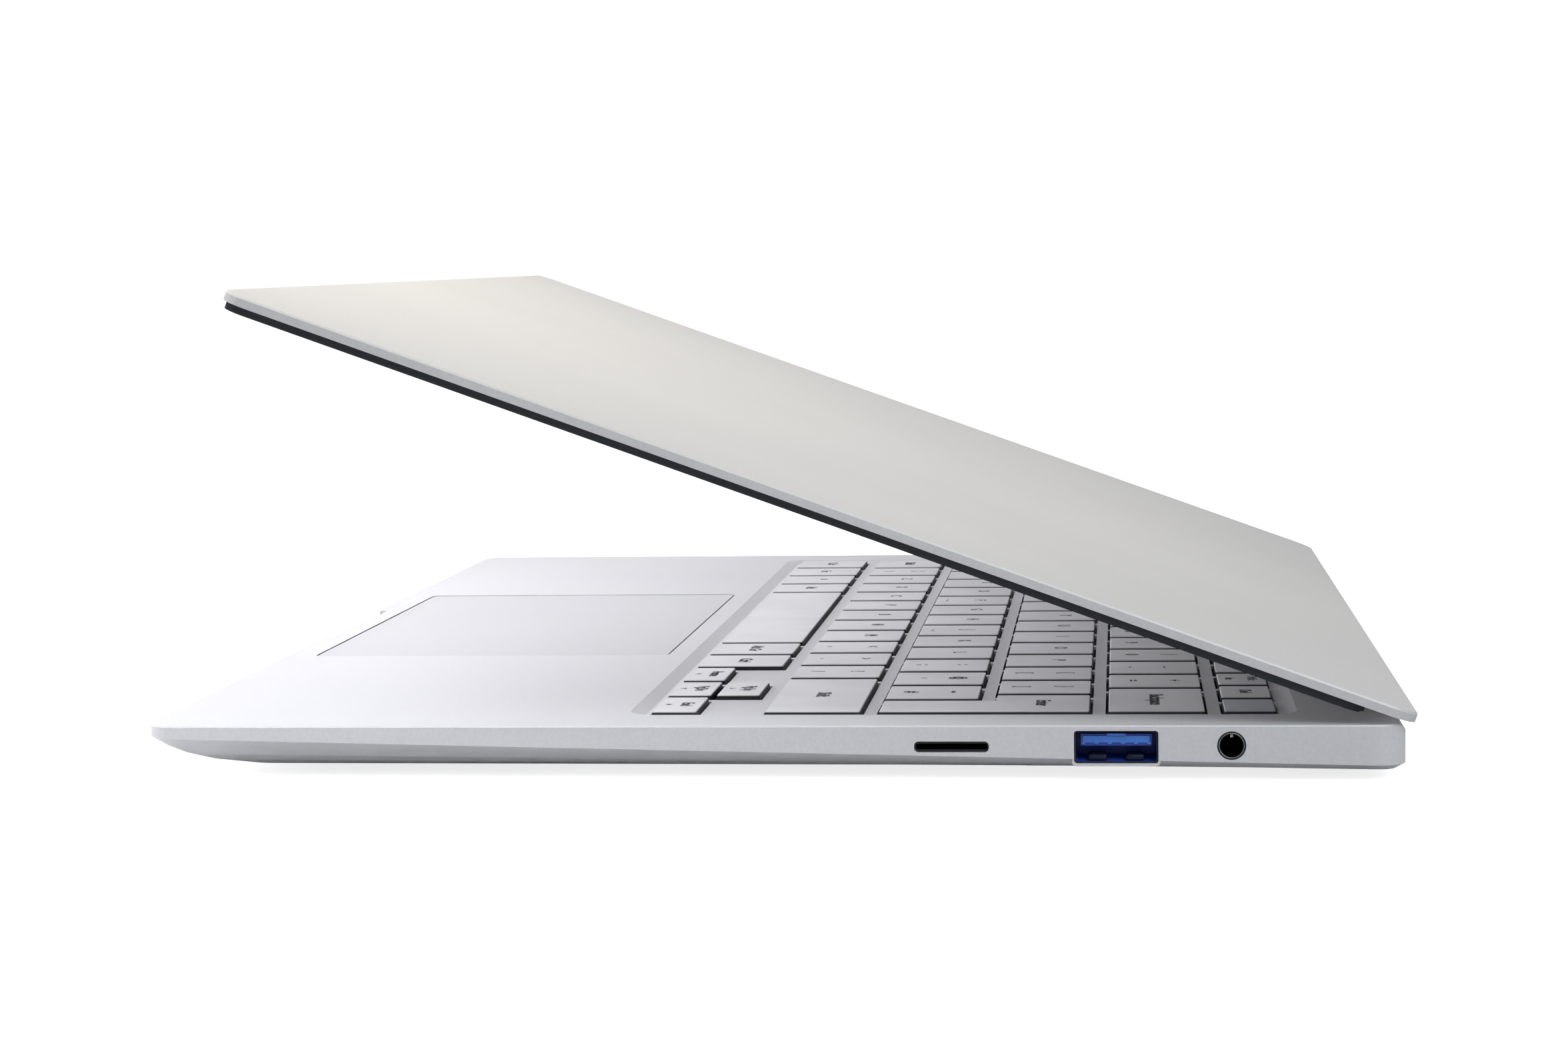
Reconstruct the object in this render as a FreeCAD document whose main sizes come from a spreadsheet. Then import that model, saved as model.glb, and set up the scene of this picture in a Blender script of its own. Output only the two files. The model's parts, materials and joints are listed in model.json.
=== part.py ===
import FreeCAD, Part
import math
import os

import Sketcher
from FreeCAD import Placement, Rotation, Vector

# A thin 13-inch notebook computer, drawn with its lid part open.
# +X is the user's right, +Y runs to the hinge, +Z is up.
# The origin lies on the resting surface, under the middle of the machine.

os.makedirs("parts", exist_ok=True)
doc = FreeCAD.newDocument("notebook")
sheet = doc.addObject("Spreadsheet::Sheet", "dims")
cells = {}
pieces = []
settled = set()


def dim(alias, number):
    """Put one driving dimension in the sheet and give it back."""
    if alias not in cells:
        row = len(cells) + 1
        sheet.set(f"A{row}", alias)
        sheet.set(f"B{row}", f"{number:.6g}")
        sheet.setAlias(f"B{row}", alias)
        cells[alias] = number
    return cells[alias]


# Driving dimensions, in millimetres and degrees
case_width = dim("case_width", 304.4)
case_depth = dim("case_depth", 199.8)
case_back = dim("case_back", 98.9)
case_corner = dim("case_corner", 5.0)
foot_height = dim("foot_height", 1.4)
base_thickness = dim("base_thickness", 7.5)
deck_skin = dim("deck_skin", 0.8)
key_pitch = dim("key_pitch", 19.05)
row_pitch = dim("row_pitch", 18.46)
key_web = dim("key_web", 2.06)
key_gap = dim("key_gap", 0.35)
lid_length = dim("lid_length", 199.4)
lid_angle = dim("lid_angle", 20.0)
lid_gap = dim("lid_gap", 0.15)
lid_rim = dim("lid_rim", 1.6)
bezel_depth = dim("bezel_depth", 1.25)
hinge_y = dim("hinge_y", 95.3)
hinge_drop = dim("hinge_drop", 3.2)

deck = foot_height + base_thickness
case_front = case_back - case_depth
half_width = case_width / 2


def below(drop):
    """Height of a level that lies this far under the deck."""
    return deck - drop


def named(kind, label):
    thing = doc.addObject(kind, label)
    thing.Label = label
    return thing


def keep(thing):
    """List a finished sub-part for checking and writing."""
    pieces.append(thing)
    return thing


def place(thing, x, y, z, turn=None):
    thing.Placement = Placement(Vector(x, y, z), turn or Rotation())
    return thing


def block(label, x_span, y_span, z_span):
    """A box between three pairs of faces, with its sizes in the sheet."""
    thing = named("Part::Box", label)
    for size, span in (("Length", x_span), ("Width", y_span), ("Height", z_span)):
        dim(f"{label}_{size.lower()}", span[1] - span[0])
        thing.setExpression(size, f"dims.{label}_{size.lower()}")
    return place(thing, x_span[0], y_span[0], z_span[0])


def rod(label, radius, span, middle, axis="x"):
    """A cylinder along X or Z between two stations."""
    thing = named("Part::Cylinder", label)
    dim(f"{label}_radius", radius)
    dim(f"{label}_height", span[1] - span[0])
    thing.setExpression("Radius", f"dims.{label}_radius")
    thing.setExpression("Height", f"dims.{label}_height")
    if axis == "x":
        return place(thing, span[0], middle[0], middle[1], Rotation(Vector(0, 1, 0), 90))
    return place(thing, middle[0], middle[1], span[0])


def fuse(label, things):
    union = named("Part::MultiFuse", label)
    union.Shapes = things
    union.Refine = True
    return union


def cut(label, base, tool):
    rest = named("Part::Cut", label)
    rest.Base = base
    rest.Tool = tool
    return rest


def group(label, things):
    bunch = named("Part::Compound", label)
    bunch.Links = things
    return bunch


def settle():
    """Work out what was drawn since the last call, in the order it was drawn."""
    sheet.recompute()
    for thing in doc.Objects:
        if thing.Name in settled:
            continue
        settled.add(thing.Name)
        thing.recompute()
        home = thing.getParentGeoFeatureGroup()
        if home:
            home.recompute()


both_sides = ((-1, "left"), (1, "right"))


def spread(side, span):
    """A span along X on the right, or its mirror on the left."""
    return tuple(sorted((side * span[0], side * span[1])))


def edge_numbers(shape, wanted):
    return [number for number, edge in enumerate(shape.Edges, 1) if wanted(edge)]


def along(axis):
    """Pick straight edges that run along one axis."""
    def wanted(edge):
        if edge.Curve.TypeId != "Part::GeomLine":
            return False
        return abs(abs(edge.Curve.Direction.dot(axis)) - 1) < 1e-6
    return wanted


def trimmed(kind, label, base, size, wanted):
    """Round or bevel the chosen edges of a piece."""
    settle()
    dim(f"{label}_trim", size)
    thing = named(kind, label)
    thing.Base = base
    thing.Edges = [(number, size, size) for number in edge_numbers(base.Shape, wanted)]
    return thing


up_axis = Vector(0, 0, 1)
side_axis = Vector(1, 0, 0)


def plate(label, x_span, y_span, z_span, radius, axis=up_axis):
    """A box whose corners along one axis are rounded."""
    blank = block(f"{label}_blank", x_span, y_span, z_span)
    return trimmed("Part::Fillet", label, blank, radius, along(axis))


def clipped(label, x_span, y_span, z_span, clip, axis=up_axis):
    """A box whose corners along one axis are cut off."""
    blank = block(f"{label}_blank", x_span, y_span, z_span)
    return trimmed("Part::Chamfer", label, blank, clip, along(axis))


def origin_plane(body, role):
    return [feature for feature in body.Origin.OriginFeatures if feature.Role == role][0]


def sketch_on(body, label, role, offset=0.0, tilt=0.0):
    """An empty sketch on one of its body's origin planes, lifted and tipped about X."""
    sketch = body.newObject("Sketcher::SketchObject", label)
    sketch.AttachmentSupport = [(origin_plane(body, role), "")]
    sketch.MapMode = "FlatFace"
    sketch.AttachmentOffset = Placement(Vector(0, 0, offset), Rotation(Vector(1, 0, 0), tilt))
    return sketch


def bind(sketch, sizes):
    """Add named constraints whose values come from the sheet."""
    for name, (constraint, number) in sizes.items():
        index = sketch.addConstraint(constraint)
        sketch.renameConstraint(index, name)
        dim(f"{sketch.Name}_{name}", number)
        sketch.setExpression(f"Constraints.{name}", f"dims.{sketch.Name}_{name}")


def round_outline(sketch, x_span, y_span, radius):
    """A rectangle with four equal round corners."""
    left, right = x_span
    front, back = y_span
    corners = (
        (right - radius, front + radius, -math.pi / 2),
        (right - radius, back - radius, 0.0),
        (left + radius, back - radius, math.pi / 2),
        (left + radius, front + radius, math.pi),
    )
    sides = (
        (Vector(left + radius, front), Vector(right - radius, front)),
        (Vector(right, front + radius), Vector(right, back - radius)),
        (Vector(right - radius, back), Vector(left + radius, back)),
        (Vector(left, back - radius), Vector(left, front + radius)),
    )
    geometry = []
    for side, (x, y, start) in zip(sides, corners):
        circle = Part.Circle(Vector(x, y), Vector(0, 0, 1), radius)
        geometry.append(Part.LineSegment(*side))
        geometry.append(Part.ArcOfCircle(circle, start, start + math.pi / 2))
    sketch.addGeometry(geometry, False)
    for index in range(8):
        sketch.addConstraint(Sketcher.Constraint("Tangent", index, 2, (index + 1) % 8, 1))
    for index, way in enumerate(("Horizontal", "Vertical", "Horizontal", "Vertical")):
        sketch.addConstraint(Sketcher.Constraint(way, 2 * index))
    for index in (3, 5, 7):
        sketch.addConstraint(Sketcher.Constraint("Equal", 1, index))
    bind(sketch, {
        "corner": (Sketcher.Constraint("Radius", 1, radius), radius),
        "across": (Sketcher.Constraint("DistanceX", 6, 1, 2, 2, right - left), right - left),
        "deep": (Sketcher.Constraint("DistanceY", 0, 1, 4, 2, back - front), back - front),
        "left": (Sketcher.Constraint("DistanceX", -1, 1, 6, 1, left), left),
        "front": (Sketcher.Constraint("DistanceY", -1, 1, 0, 1, front), front),
    })
    return sketch


def polygon(sketch, points):
    """A closed outline of straight sides, each corner held by its two coordinates."""
    corners = [Vector(x, y) for x, y in points]
    count = len(corners)
    for index, corner in enumerate(corners):
        sketch.addGeometry(Part.LineSegment(corner, corners[(index + 1) % count]), False)
    for index in range(count):
        sketch.addConstraint(Sketcher.Constraint("Coincident", index, 2, (index + 1) % count, 1))
    sizes = {}
    for index, (x, y) in enumerate(points):
        letter = "abcdefghijkl"[index]
        sizes[f"{letter}_across"] = (Sketcher.Constraint("DistanceX", -1, 1, index, 1, x), x)
        sizes[f"{letter}_up"] = (Sketcher.Constraint("DistanceY", -1, 1, index, 1, y), y)
    bind(sketch, sizes)
    return sketch


def rectangle(sketch, half, y_span):
    """A plain rectangle, as wide to the left as to the right."""
    front, back = y_span
    return polygon(sketch, [(-half, front), (half, front), (half, back), (-half, back)])


def section(body, label, insets, radius, drops):
    """A case outline set in by (side, front, back), on a plane that falls from front to back."""
    side, front, back = insets
    front_drop, back_drop = drops
    fall = (back_drop - front_drop) / case_depth
    level = below(front_drop - fall * case_front)
    sketch = sketch_on(body, label, "XY_Plane", level, -math.degrees(math.atan(fall)))
    x_span = (side - half_width, half_width - side)
    return round_outline(sketch, x_span, (case_front + front, case_back - back), radius)


def loft(body, label, sections, kind="PartDesign::AdditiveLoft", ruled=True):
    feature = body.newObject(kind, label)
    feature.Profile = sections[0]
    feature.Sections = sections[1:]
    feature.Ruled = ruled
    return feature


def pad(body, label, sketch, length):
    feature = body.newObject("PartDesign::Pad", label)
    feature.Profile = sketch
    dim(f"{label}_length", length)
    feature.setExpression("Length", f"dims.{label}_length")
    return feature


def pocket(body, label, sketch, length, reverse=False):
    """Cut a sketch into the body and make sure that something came off."""
    settle()
    before = body.Tip.Shape.Volume
    feature = body.newObject("PartDesign::Pocket", label)
    feature.Profile = sketch
    dim(f"{label}_length", length)
    feature.setExpression("Length", f"dims.{label}_length")
    feature.Reversed = reverse
    settle()
    if before - feature.Shape.Volume < 1e-3:
        raise RuntimeError(f"{label} cuts nothing")
    return feature


def dress(body, kind, label, wanted, size, alias):
    """Bevel or round the chosen edges of a body as it stands."""
    settle()
    tip = body.Tip
    feature = body.newObject(kind, label)
    feature.Base = (tip, [f"Edge{number}" for number in edge_numbers(tip.Shape, wanted)])
    feature.setExpression(size, f"dims.{alias}")
    return feature


# Levels of the case: lower edge of the side wall, seam with the bottom cover
wall_drops = (dim("wall_drop_front", 2.0), dim("wall_drop_back", 6.4))
seam_drops = (dim("seam_drop_front", 3.6), dim("seam_drop_back", 7.3))
seam_insets = (dim("seam_inset_side", 2.2), dim("seam_inset_front", 2.6), dim("seam_inset_back", 1.5))
seam_corner = dim("seam_corner", 3.0)

# Keyboard tray and touchpad opening
tray_x = dim("tray_half", 139.3)
tray_y = (dim("tray_front", -24.7), dim("tray_back", 82.8))
tray_depth = dim("tray_depth", 0.7)
tray_slope = dim("tray_slope", 2.4)
tray_floor = dim("tray_floor", 0.6)
pad_x = dim("touchpad_half", 56.65)
pad_y = (dim("touchpad_front", -95.48), dim("touchpad_back", -28.66))

# Ports: middle along the side, middle below the deck, opening width and height
usb_a = (dim("usb_a_y", 54.0), dim("usb_a_drop", 3.42), dim("usb_a_wide", 13.1), dim("usb_a_high", 5.14))
card = (dim("card_y", 28.35), dim("card_drop", 3.37), dim("card_wide", 11.7), dim("card_high", 1.72))
jack = (dim("jack_y", 71.84), dim("jack_drop", 3.19), dim("jack_ring", 2.2))
hdmi = (dim("hdmi_y", 70.0), dim("hdmi_drop", 3.3), dim("hdmi_wide", 14.6), dim("hdmi_high", 4.9))
usb_c_high = dim("usb_c_high", 3.26)
usb_c = [(dim("usb_c_rear_y", 48.0), 3.2), (dim("usb_c_front_y", 32.0), 3.2)]
usb_c_wide = dim("usb_c_wide", 8.96)

# Hinges: reach along X of the fixed barrel and of the turning knuckle
barrel_x = (dim("barrel_near", 100.5), dim("barrel_far", 113.0))
knuckle_x = (dim("knuckle_near", 113.4), dim("knuckle_far", 128.5))
notch_x = (dim("notch_near", 99.5), dim("notch_far", 129.5))
barrel_radius = dim("barrel_radius", 2.6)
pin_radius = dim("pin_radius", 1.5)
pin_clearance = dim("pin_clearance", 0.03)

# Key columns of each row, as the places of the webs between the keys
field = dim("key_field_half", 137.4)
row_front = dim("key_row_front", -21.55)
key_depth = row_pitch - key_web
function_depth = dim("function_key_depth", 9.2)
function_row = 5
function_count = 16
modifier_start = dim("modifier_start", -118.15)
modifier_pitch = dim("modifier_pitch", 19.4)
space_right = dim("space_right", 37.4)
arrow_start = dim("arrow_start", 75.7)
arrow_pitch = dim("arrow_pitch", 20.45)
lower_start = dim("lower_start", -117.2)
home_start = dim("home_start", -107.35)
upper_start = dim("upper_start", -114.1)
number_start = dim("number_start", -122.2)


def steps(start, count, pitch=key_pitch):
    return [start + pitch * index for index in range(count)]


def row_span(index):
    front = row_front + row_pitch * index
    depth = function_depth if index == function_row else key_depth
    return front, front + depth


right_modifiers = [space_right, (space_right + arrow_start) / 2, arrow_start]
arrow_edges = steps(arrow_start, 3, arrow_pitch) + [field]
column_edges = {
    "bottom": [-field] + steps(modifier_start, 4, modifier_pitch) + right_modifiers,
    "lower": [-field] + steps(lower_start, 12) + [field],
    "home": [-field] + steps(home_start, 13),
    "upper": [-field] + steps(upper_start, 13),
    "number": [-field] + steps(number_start, 13) + [field],
    "function": steps(-field, function_count + 1, 2 * field / function_count),
}
row_names = ["bottom", "lower", "home", "upper", "number", "function"]


def opening_spans(row, index):
    """Clear opening in the tray for one key of a row."""
    left, right = column_edges[row][index:index + 2]
    return (left + key_web / 2, right - key_web / 2), row_span(row_names.index(row))


openings = []
for row in row_names:
    for index in range(len(column_edges[row]) - 1):
        openings.append((row, index) + opening_spans(row, index))

arrow_front, arrow_back = row_span(0)
arrow_split = (arrow_front + arrow_back) / 2
arrow_spans = {
    "left_arrow": (arrow_edges[0:2], (arrow_front, arrow_split)),
    "down_arrow": (arrow_edges[1:3], (arrow_front, arrow_split)),
    "up_arrow": (arrow_edges[1:3], (arrow_split, arrow_back)),
    "right_arrow": (arrow_edges[2:4], (arrow_front, arrow_split)),
}

# The return key stands on two rows and is wider on the rear one
enter_front, enter_middle = row_span(2)[0], row_span(3)[0]
enter_back = row_span(3)[1]
enter_narrow = column_edges["home"][-1] + key_web / 2
enter_wide = column_edges["upper"][-1] + key_web / 2
enter_right = field - key_web / 2

# Top case: a loft through the deck outline, the wall's lower edge and the seam
case = named("PartDesign::Body", "top_case_shell")
whole = (0.0, 0.0, 0.0)
edge_break = dim("deck_edge_break", 0.25)
loft(case, "case_form", [
    section(case, "deck_outline", (edge_break,) * 3, case_corner - edge_break, (0.0, 0.0)),
    section(case, "edge_outline", whole, case_corner, (edge_break, edge_break)),
    section(case, "wall_outline", whole, case_corner, wall_drops),
    section(case, "seam_outline", seam_insets, seam_corner, seam_drops),
])
rim_wall = dim("rim_wall", 1.2)
overrun = dim("cut_overrun", 0.2)
cavity_insets = tuple(inset + rim_wall for inset in seam_insets)
cavity = section(case, "cavity_roof", cavity_insets, seam_corner - rim_wall, (deck_skin, deck_skin))
pocket(case, "case_cavity", cavity, base_thickness)
tray_bottom = tray_depth + tray_floor
pan_margin = dim("tray_pan_margin", 1.5)
tray_pan = sketch_on(case, "tray_pan", "XY_Plane", below(tray_bottom))
pan_x = tray_x + pan_margin
pan_y = (tray_y[0] - pan_margin, tray_y[1] + pan_margin)
rectangle(tray_pan, pan_x, pan_y)
pad(case, "tray_pan_pad", tray_pan, tray_bottom - deck_skin / 2)
tray_rim = sketch_on(case, "tray_rim", "XY_Plane", deck)
tray_corner = dim("tray_corner", 5.0)
round_outline(tray_rim, (-tray_x, tray_x), tray_y, tray_corner)
tray_base = sketch_on(case, "tray_base", "XY_Plane", below(tray_depth))
tray_low_x = tray_x - tray_slope
tray_low_y = (tray_y[0] + tray_slope, tray_y[1] - tray_slope)
round_outline(tray_base, (-tray_low_x, tray_low_x), tray_low_y, tray_corner - tray_slope)
loft(case, "tray", [tray_rim, tray_base], "PartDesign::SubtractiveLoft")
window = sketch_on(case, "touchpad_window", "XY_Plane", deck)
round_outline(window, (-pad_x, pad_x), pad_y, dim("touchpad_window_corner", 2.0))
pocket(case, "touchpad_window_cut", window, 2 * deck_skin)

# Finger scoop: a shallow step with round ends along the front edge
scoop_half = dim("scoop_half", 25.7)
scoop_depth = dim("scoop_depth", 0.75)
scoop_reach = dim("scoop_reach", 1.9)
scoop_round = dim("scoop_round", 1.6)
scoop = sketch_on(case, "scoop", "XY_Plane", deck)
scoop_y = (case_front - 2 * scoop_round, case_front + scoop_reach)
round_outline(scoop, (-scoop_half, scoop_half), scoop_y, scoop_round)
pocket(case, "scoop_cut", scoop, scoop_depth)

# Rear bevel that lets the lid's back edge swing past
bevel_reach = dim("rear_bevel_reach", 1.1)
bevel_fall = dim("rear_bevel_fall", 2.6)
bevel = sketch_on(case, "rear_bevel", "YZ_Plane", -half_width)
behind = case_back + 1
polygon(bevel, [(case_back - bevel_reach, deck), (behind, deck + 1), (behind, below(bevel_fall))])
pocket(case, "rear_bevel_cut", bevel, case_width, True)

# Port openings, with a chin below the tall one
chin_side = dim("chin_side", 0.3)
chin_lip = dim("chin_lip", 0.42)
chin_reach = dim("chin_reach", 3.9)
chin_top = dim("chin_top", 4.6)
chin = sketch_on(case, "usb_chin", "YZ_Plane", half_width - chin_reach - 0.1)
chin_half = usb_a[2] / 2 + chin_side
chin_span = (below(usb_a[1] + usb_a[3] / 2 + chin_lip), below(chin_top))
round_outline(chin, (usb_a[0] - chin_half, usb_a[0] + chin_half), chin_span, dim("chin_corner", 0.6))
pad(case, "usb_chin_pad", chin, chin_reach)


port_depth = dim("port_opening_depth", 9.0)
jack_wide = dim("jack_opening_width", 4.5)


def port_opening(label, middle, drop, wide, high, radius, side):
    opening = sketch_on(case, label, "YZ_Plane", side * half_width)
    levels = (below(drop) - high / 2, below(drop) + high / 2)
    round_outline(opening, (middle - wide / 2, middle + wide / 2), levels, radius)
    pocket(case, f"{label}_cut", opening, port_depth, side < 0)


port_opening("usb_a_opening", *usb_a, 0.5, 1)
port_opening("card_opening", *card, 0.7, 1)
port_opening("jack_opening", *jack[:2], jack_wide, jack_wide, jack_wide / 2 - 0.001, 1)
port_opening("hdmi_opening", *hdmi, 0.8, -1)
for index, (middle, drop) in enumerate(usb_c):
    name = ("usb_c_opening_rear", "usb_c_opening_front")[index]
    port_opening(name, middle, drop, usb_c_wide, usb_c_high, usb_c_high / 2 - 0.001, -1)

# Openings for the keys, the hinges and the exhaust
key_cuts = []
cut_span = (below(dim("key_opening_depth", 2.0)), deck)
for row, index, x_span, y_span in openings:
    key_cuts.append(block(f"{row}_opening_{index}", x_span, y_span, cut_span))
for name, y_span in (("left_arrow", (arrow_front, arrow_split)), ("down_arrow", (arrow_front, arrow_back)),
                     ("right_arrow", (arrow_front, arrow_split))):
    left, right = arrow_spans[name][0]
    hole = (left + key_web / 2, right - key_web / 2)
    key_cuts.append(block(f"{name}_opening", hole, y_span, cut_span))
enter_holes = []
rear_hole = ((enter_wide, enter_right), (enter_middle, enter_back))
front_hole = ((enter_narrow, enter_right), (enter_front, enter_middle + 1.0))
for name, (x_span, y_span) in (("rear", rear_hole), ("front", front_hole)):
    enter_holes.append(block(f"enter_{name}_opening", x_span, y_span, cut_span))
key_cuts.append(fuse("enter_opening", enter_holes))

vent_count = 22
vent_pitch = dim("vent_pitch", 7.2)
vent_x = dim("vent_half", 2.4)
vent_y = (dim("vent_front", 94.0), case_back + 1)
vent_z = (below(dim("vent_low", 5.2)), below(dim("vent_high", 2.8)))
for index in range(vent_count):
    middle = vent_pitch * (index - (vent_count - 1) / 2)
    key_cuts.append(block(f"vent_{index}", (middle - vent_x, middle + vent_x), vent_y, vent_z))
notch_y = (dim("notch_front", 91.4), case_back + 1)
notch_z = (below(dim("notch_depth", 6.15)), deck + 1)
for side, name in both_sides:
    key_cuts.append(block(f"hinge_notch_{name}", spread(side, notch_x), notch_y, notch_z))
keep(cut("top_case", case, group("case_openings", key_cuts)))

# Bottom cover: a pan that is deep at the front and runs out at the back
cover = named("PartDesign::Body", "bottom_cover_pan")
floor_insets = (dim("floor_inset_side", 11.0), dim("floor_inset_front", 18.5), dim("floor_inset_back", 7.0))
floor_corner = dim("floor_corner", 9.0)


def flank(label, inward, downward):
    """A cover outline part of the way from the seam to the floor."""
    insets = tuple(near + inward * (far - near) for near, far in zip(seam_insets, floor_insets))
    drops = tuple(drop + downward * (base_thickness - drop) for drop in seam_drops)
    return section(cover, label, insets, seam_corner + inward * (floor_corner - seam_corner), drops)


loft(cover, "cover_form", [
    flank("cover_seam", 0.0, 0.0),
    flank("cover_shoulder", 0.14, 0.32),
    flank("cover_side", 0.34, 0.62),
    flank("cover_belly", 0.62, 0.87),
    flank("cover_floor", 1.0, 1.0),
])
cover_skin = dim("cover_skin", 0.8)
well_start = dim("cover_well_start", 2.5)
well_insets = tuple(inset + 1.0 for inset in floor_insets)
well = section(cover, "cover_well", well_insets, floor_corner - 1.0, (well_start, well_start))
pocket(cover, "cover_well_cut", well, base_thickness - cover_skin - well_start)
stiffener = sketch_on(cover, "stiffener", "XY_Plane", foot_height)
stiff_x = half_width - dim("stiffener_inset", 8.0)
stiff_y = (dim("stiffener_front", 40.0), case_back - dim("stiffener_back_inset", 4.2))
rectangle(stiffener, stiff_x, stiff_y)
pad(cover, "stiffener_pad", stiffener, cover_skin)

fan_at = (dim("fan_x", -76.0), dim("fan_y", 44.0))
slot_pitch = dim("slot_pitch", 5.0)
slot_z = (foot_height - overrun, foot_height + 2 * cover_skin)
intake_count = 11
intake_radius = dim("intake_radius", 26.0)
intake_half = dim("intake_half", 1.2)
intake_shortest = dim("intake_shortest", 7.75)
cover_cuts = []
for index in range(intake_count):
    aside = slot_pitch * (index - (intake_count - 1) / 2)
    reach = max(math.sqrt(max(intake_radius ** 2 - aside ** 2, 0.0)), intake_shortest)
    x_span = (fan_at[0] + aside - intake_half, fan_at[0] + aside + intake_half)
    cover_cuts.append(block(f"intake_{index}", x_span, (fan_at[1] - reach, fan_at[1] + reach), slot_z))
speaker_slots = 9
speaker_slot_x = (dim("speaker_slot_near", 128.5), dim("speaker_slot_far", 134.5))
speaker_slot_front = dim("speaker_slot_front", -70.0)
speaker_slot_wide = dim("speaker_slot_wide", 1.6)
for side, name in both_sides:
    for index in range(speaker_slots):
        start = speaker_slot_front + slot_pitch * index
        y_span = (start, start + speaker_slot_wide)
        cover_cuts.append(block(f"speaker_slot_{name}_{index}", spread(side, speaker_slot_x), y_span, slot_z))
keep(cut("bottom_cover", cover, group("cover_openings", cover_cuts)))

# Rubber feet: long pads with clipped corners
foot_x = dim("foot_x", 106.0)
foot_half = dim("foot_half_depth", 4.0)
foot_clip = dim("foot_clip", 1.6)
foot_places = {
    "front_feet": (dim("front_foot_y", -70.0), dim("front_foot_half", 13.0)),
    "rear_feet": (dim("rear_foot_y", 83.0), dim("rear_foot_half", 24.0)),
}
for label, (y, half_length) in foot_places.items():
    feet = []
    for side, name in both_sides:
        x_span = spread(side, (foot_x - half_length, foot_x + half_length))
        y_span = (y - foot_half, y + foot_half)
        feet.append(clipped(f"{label}_{name}", x_span, y_span, (0.0, foot_height), foot_clip))
    keep(group(label, feet))

# Keyboard: membrane on a steel plate, then caps that stand through the tray
plate_drops = (dim("plate_low", 3.2), dim("plate_high", 2.7))
plate_x = dim("plate_half", 138.0)
sheet_inset = dim("plate_inset", 1.0)
film_inset = dim("film_inset", 1.5)
film_x = plate_x - sheet_inset
film_top = dim("film_top", 2.5)
sheet_clip = dim("sheet_clip", 2.0)
plate_y = (tray_y[0] + sheet_inset, tray_y[1] - sheet_inset)
film_y = (tray_y[0] + film_inset, tray_y[1] - film_inset)
plate_z = (below(plate_drops[0]), below(plate_drops[1]))
keep(clipped("keyboard_plate", (-plate_x, plate_x), plate_y, plate_z, sheet_clip))
keep(clipped("keyboard_membrane", (-film_x, film_x), film_y, (plate_z[1], below(film_top)), sheet_clip))

cap_top = dim("cap_top", 0.1)
cap_low = dim("cap_low", 1.25)
cap_taper = dim("cap_taper", 0.25)
cap_bevel = dim("cap_bevel", 0.3)
upright = Rotation(Vector(1, 0, 0), 90)


def on_cap_edge(edge):
    return edge.BoundBox.ZMin > deck


def key_cap(label, x_span, y_span):
    """A tapered cap that clears its opening, with bevelled top edges."""
    wide = x_span[1] - x_span[0] - 2 * key_gap
    deep = y_span[1] - y_span[0] - 2 * key_gap
    dim(f"{label}_wide", wide)
    dim(f"{label}_deep", deep)
    blank = named("Part::Wedge", f"{label}_blank")
    formulas = {
        "Xmin": "0", "Ymin": "0", "Zmin": "0",
        "Xmax": f"dims.{label}_wide", "Ymax": "dims.cap_top + dims.cap_low", "Zmax": f"dims.{label}_deep",
        "X2min": "dims.cap_taper", "X2max": f"dims.{label}_wide - dims.cap_taper",
        "Z2min": "dims.cap_taper", "Z2max": f"dims.{label}_deep - dims.cap_taper",
    }
    for size, formula in formulas.items():
        blank.setExpression(size, formula)
    corner = (x_span[0] + key_gap, y_span[1] - key_gap, below(cap_low))
    place(blank, *corner, upright)
    settle()
    cap = named("Part::Chamfer", label)
    cap.Base = blank
    cap.Edges = [(number, cap_bevel, cap_bevel) for number in edge_numbers(blank.Shape, on_cap_edge)]
    return cap


caps = {}
for row, index, x_span, y_span in openings:
    caps[(row, index)] = key_cap(f"{row}_key_{index}", x_span, y_span)

single_keys = {
    "space_key": ("bottom", 4),
    "left_shift_key": ("lower", 0),
    "right_shift_key": ("lower", 12),
    "caps_lock_key": ("home", 0),
    "tab_key": ("upper", 0),
    "backspace_key": ("number", 13),
    "power_key": ("function", 15),
}
for label, place_in_row in single_keys.items():
    keep(group(label, [caps.pop(place_in_row)]))
row_nodes = {
    "left_modifier_keys": ("bottom", range(0, 4)),
    "right_modifier_keys": ("bottom", range(5, 7)),
    "lower_letter_keys": ("lower", range(1, 12)),
    "home_letter_keys": ("home", range(1, 13)),
    "upper_letter_keys": ("upper", range(1, 13)),
    "number_keys": ("number", range(0, 13)),
    "function_keys": ("function", range(0, 15)),
}
for label, (row, indices) in row_nodes.items():
    keep(group(label, [caps.pop((row, index)) for index in indices]))
for name, (x_span, y_span) in arrow_spans.items():
    hole = (x_span[0] + key_web / 2, x_span[1] - key_web / 2)
    keep(group(f"{name}_key", [key_cap(f"{name}_cap", hole, y_span)]))

enter = named("PartDesign::Body", "enter_key")
enter_outline = sketch_on(enter, "enter_outline", "XY_Plane", below(cap_low))
polygon(enter_outline, [
    (enter_narrow + key_gap, enter_front + key_gap),
    (enter_right - key_gap, enter_front + key_gap),
    (enter_right - key_gap, enter_back - key_gap),
    (enter_wide + key_gap, enter_back - key_gap),
    (enter_wide + key_gap, enter_middle + key_gap),
    (enter_narrow + key_gap, enter_middle + key_gap),
])
pad(enter, "enter_pad", enter_outline, cap_low + cap_top)

dress(enter, "PartDesign::Chamfer", "enter_bevel", on_cap_edge, "Size", "cap_bevel")
keep(enter)

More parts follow.
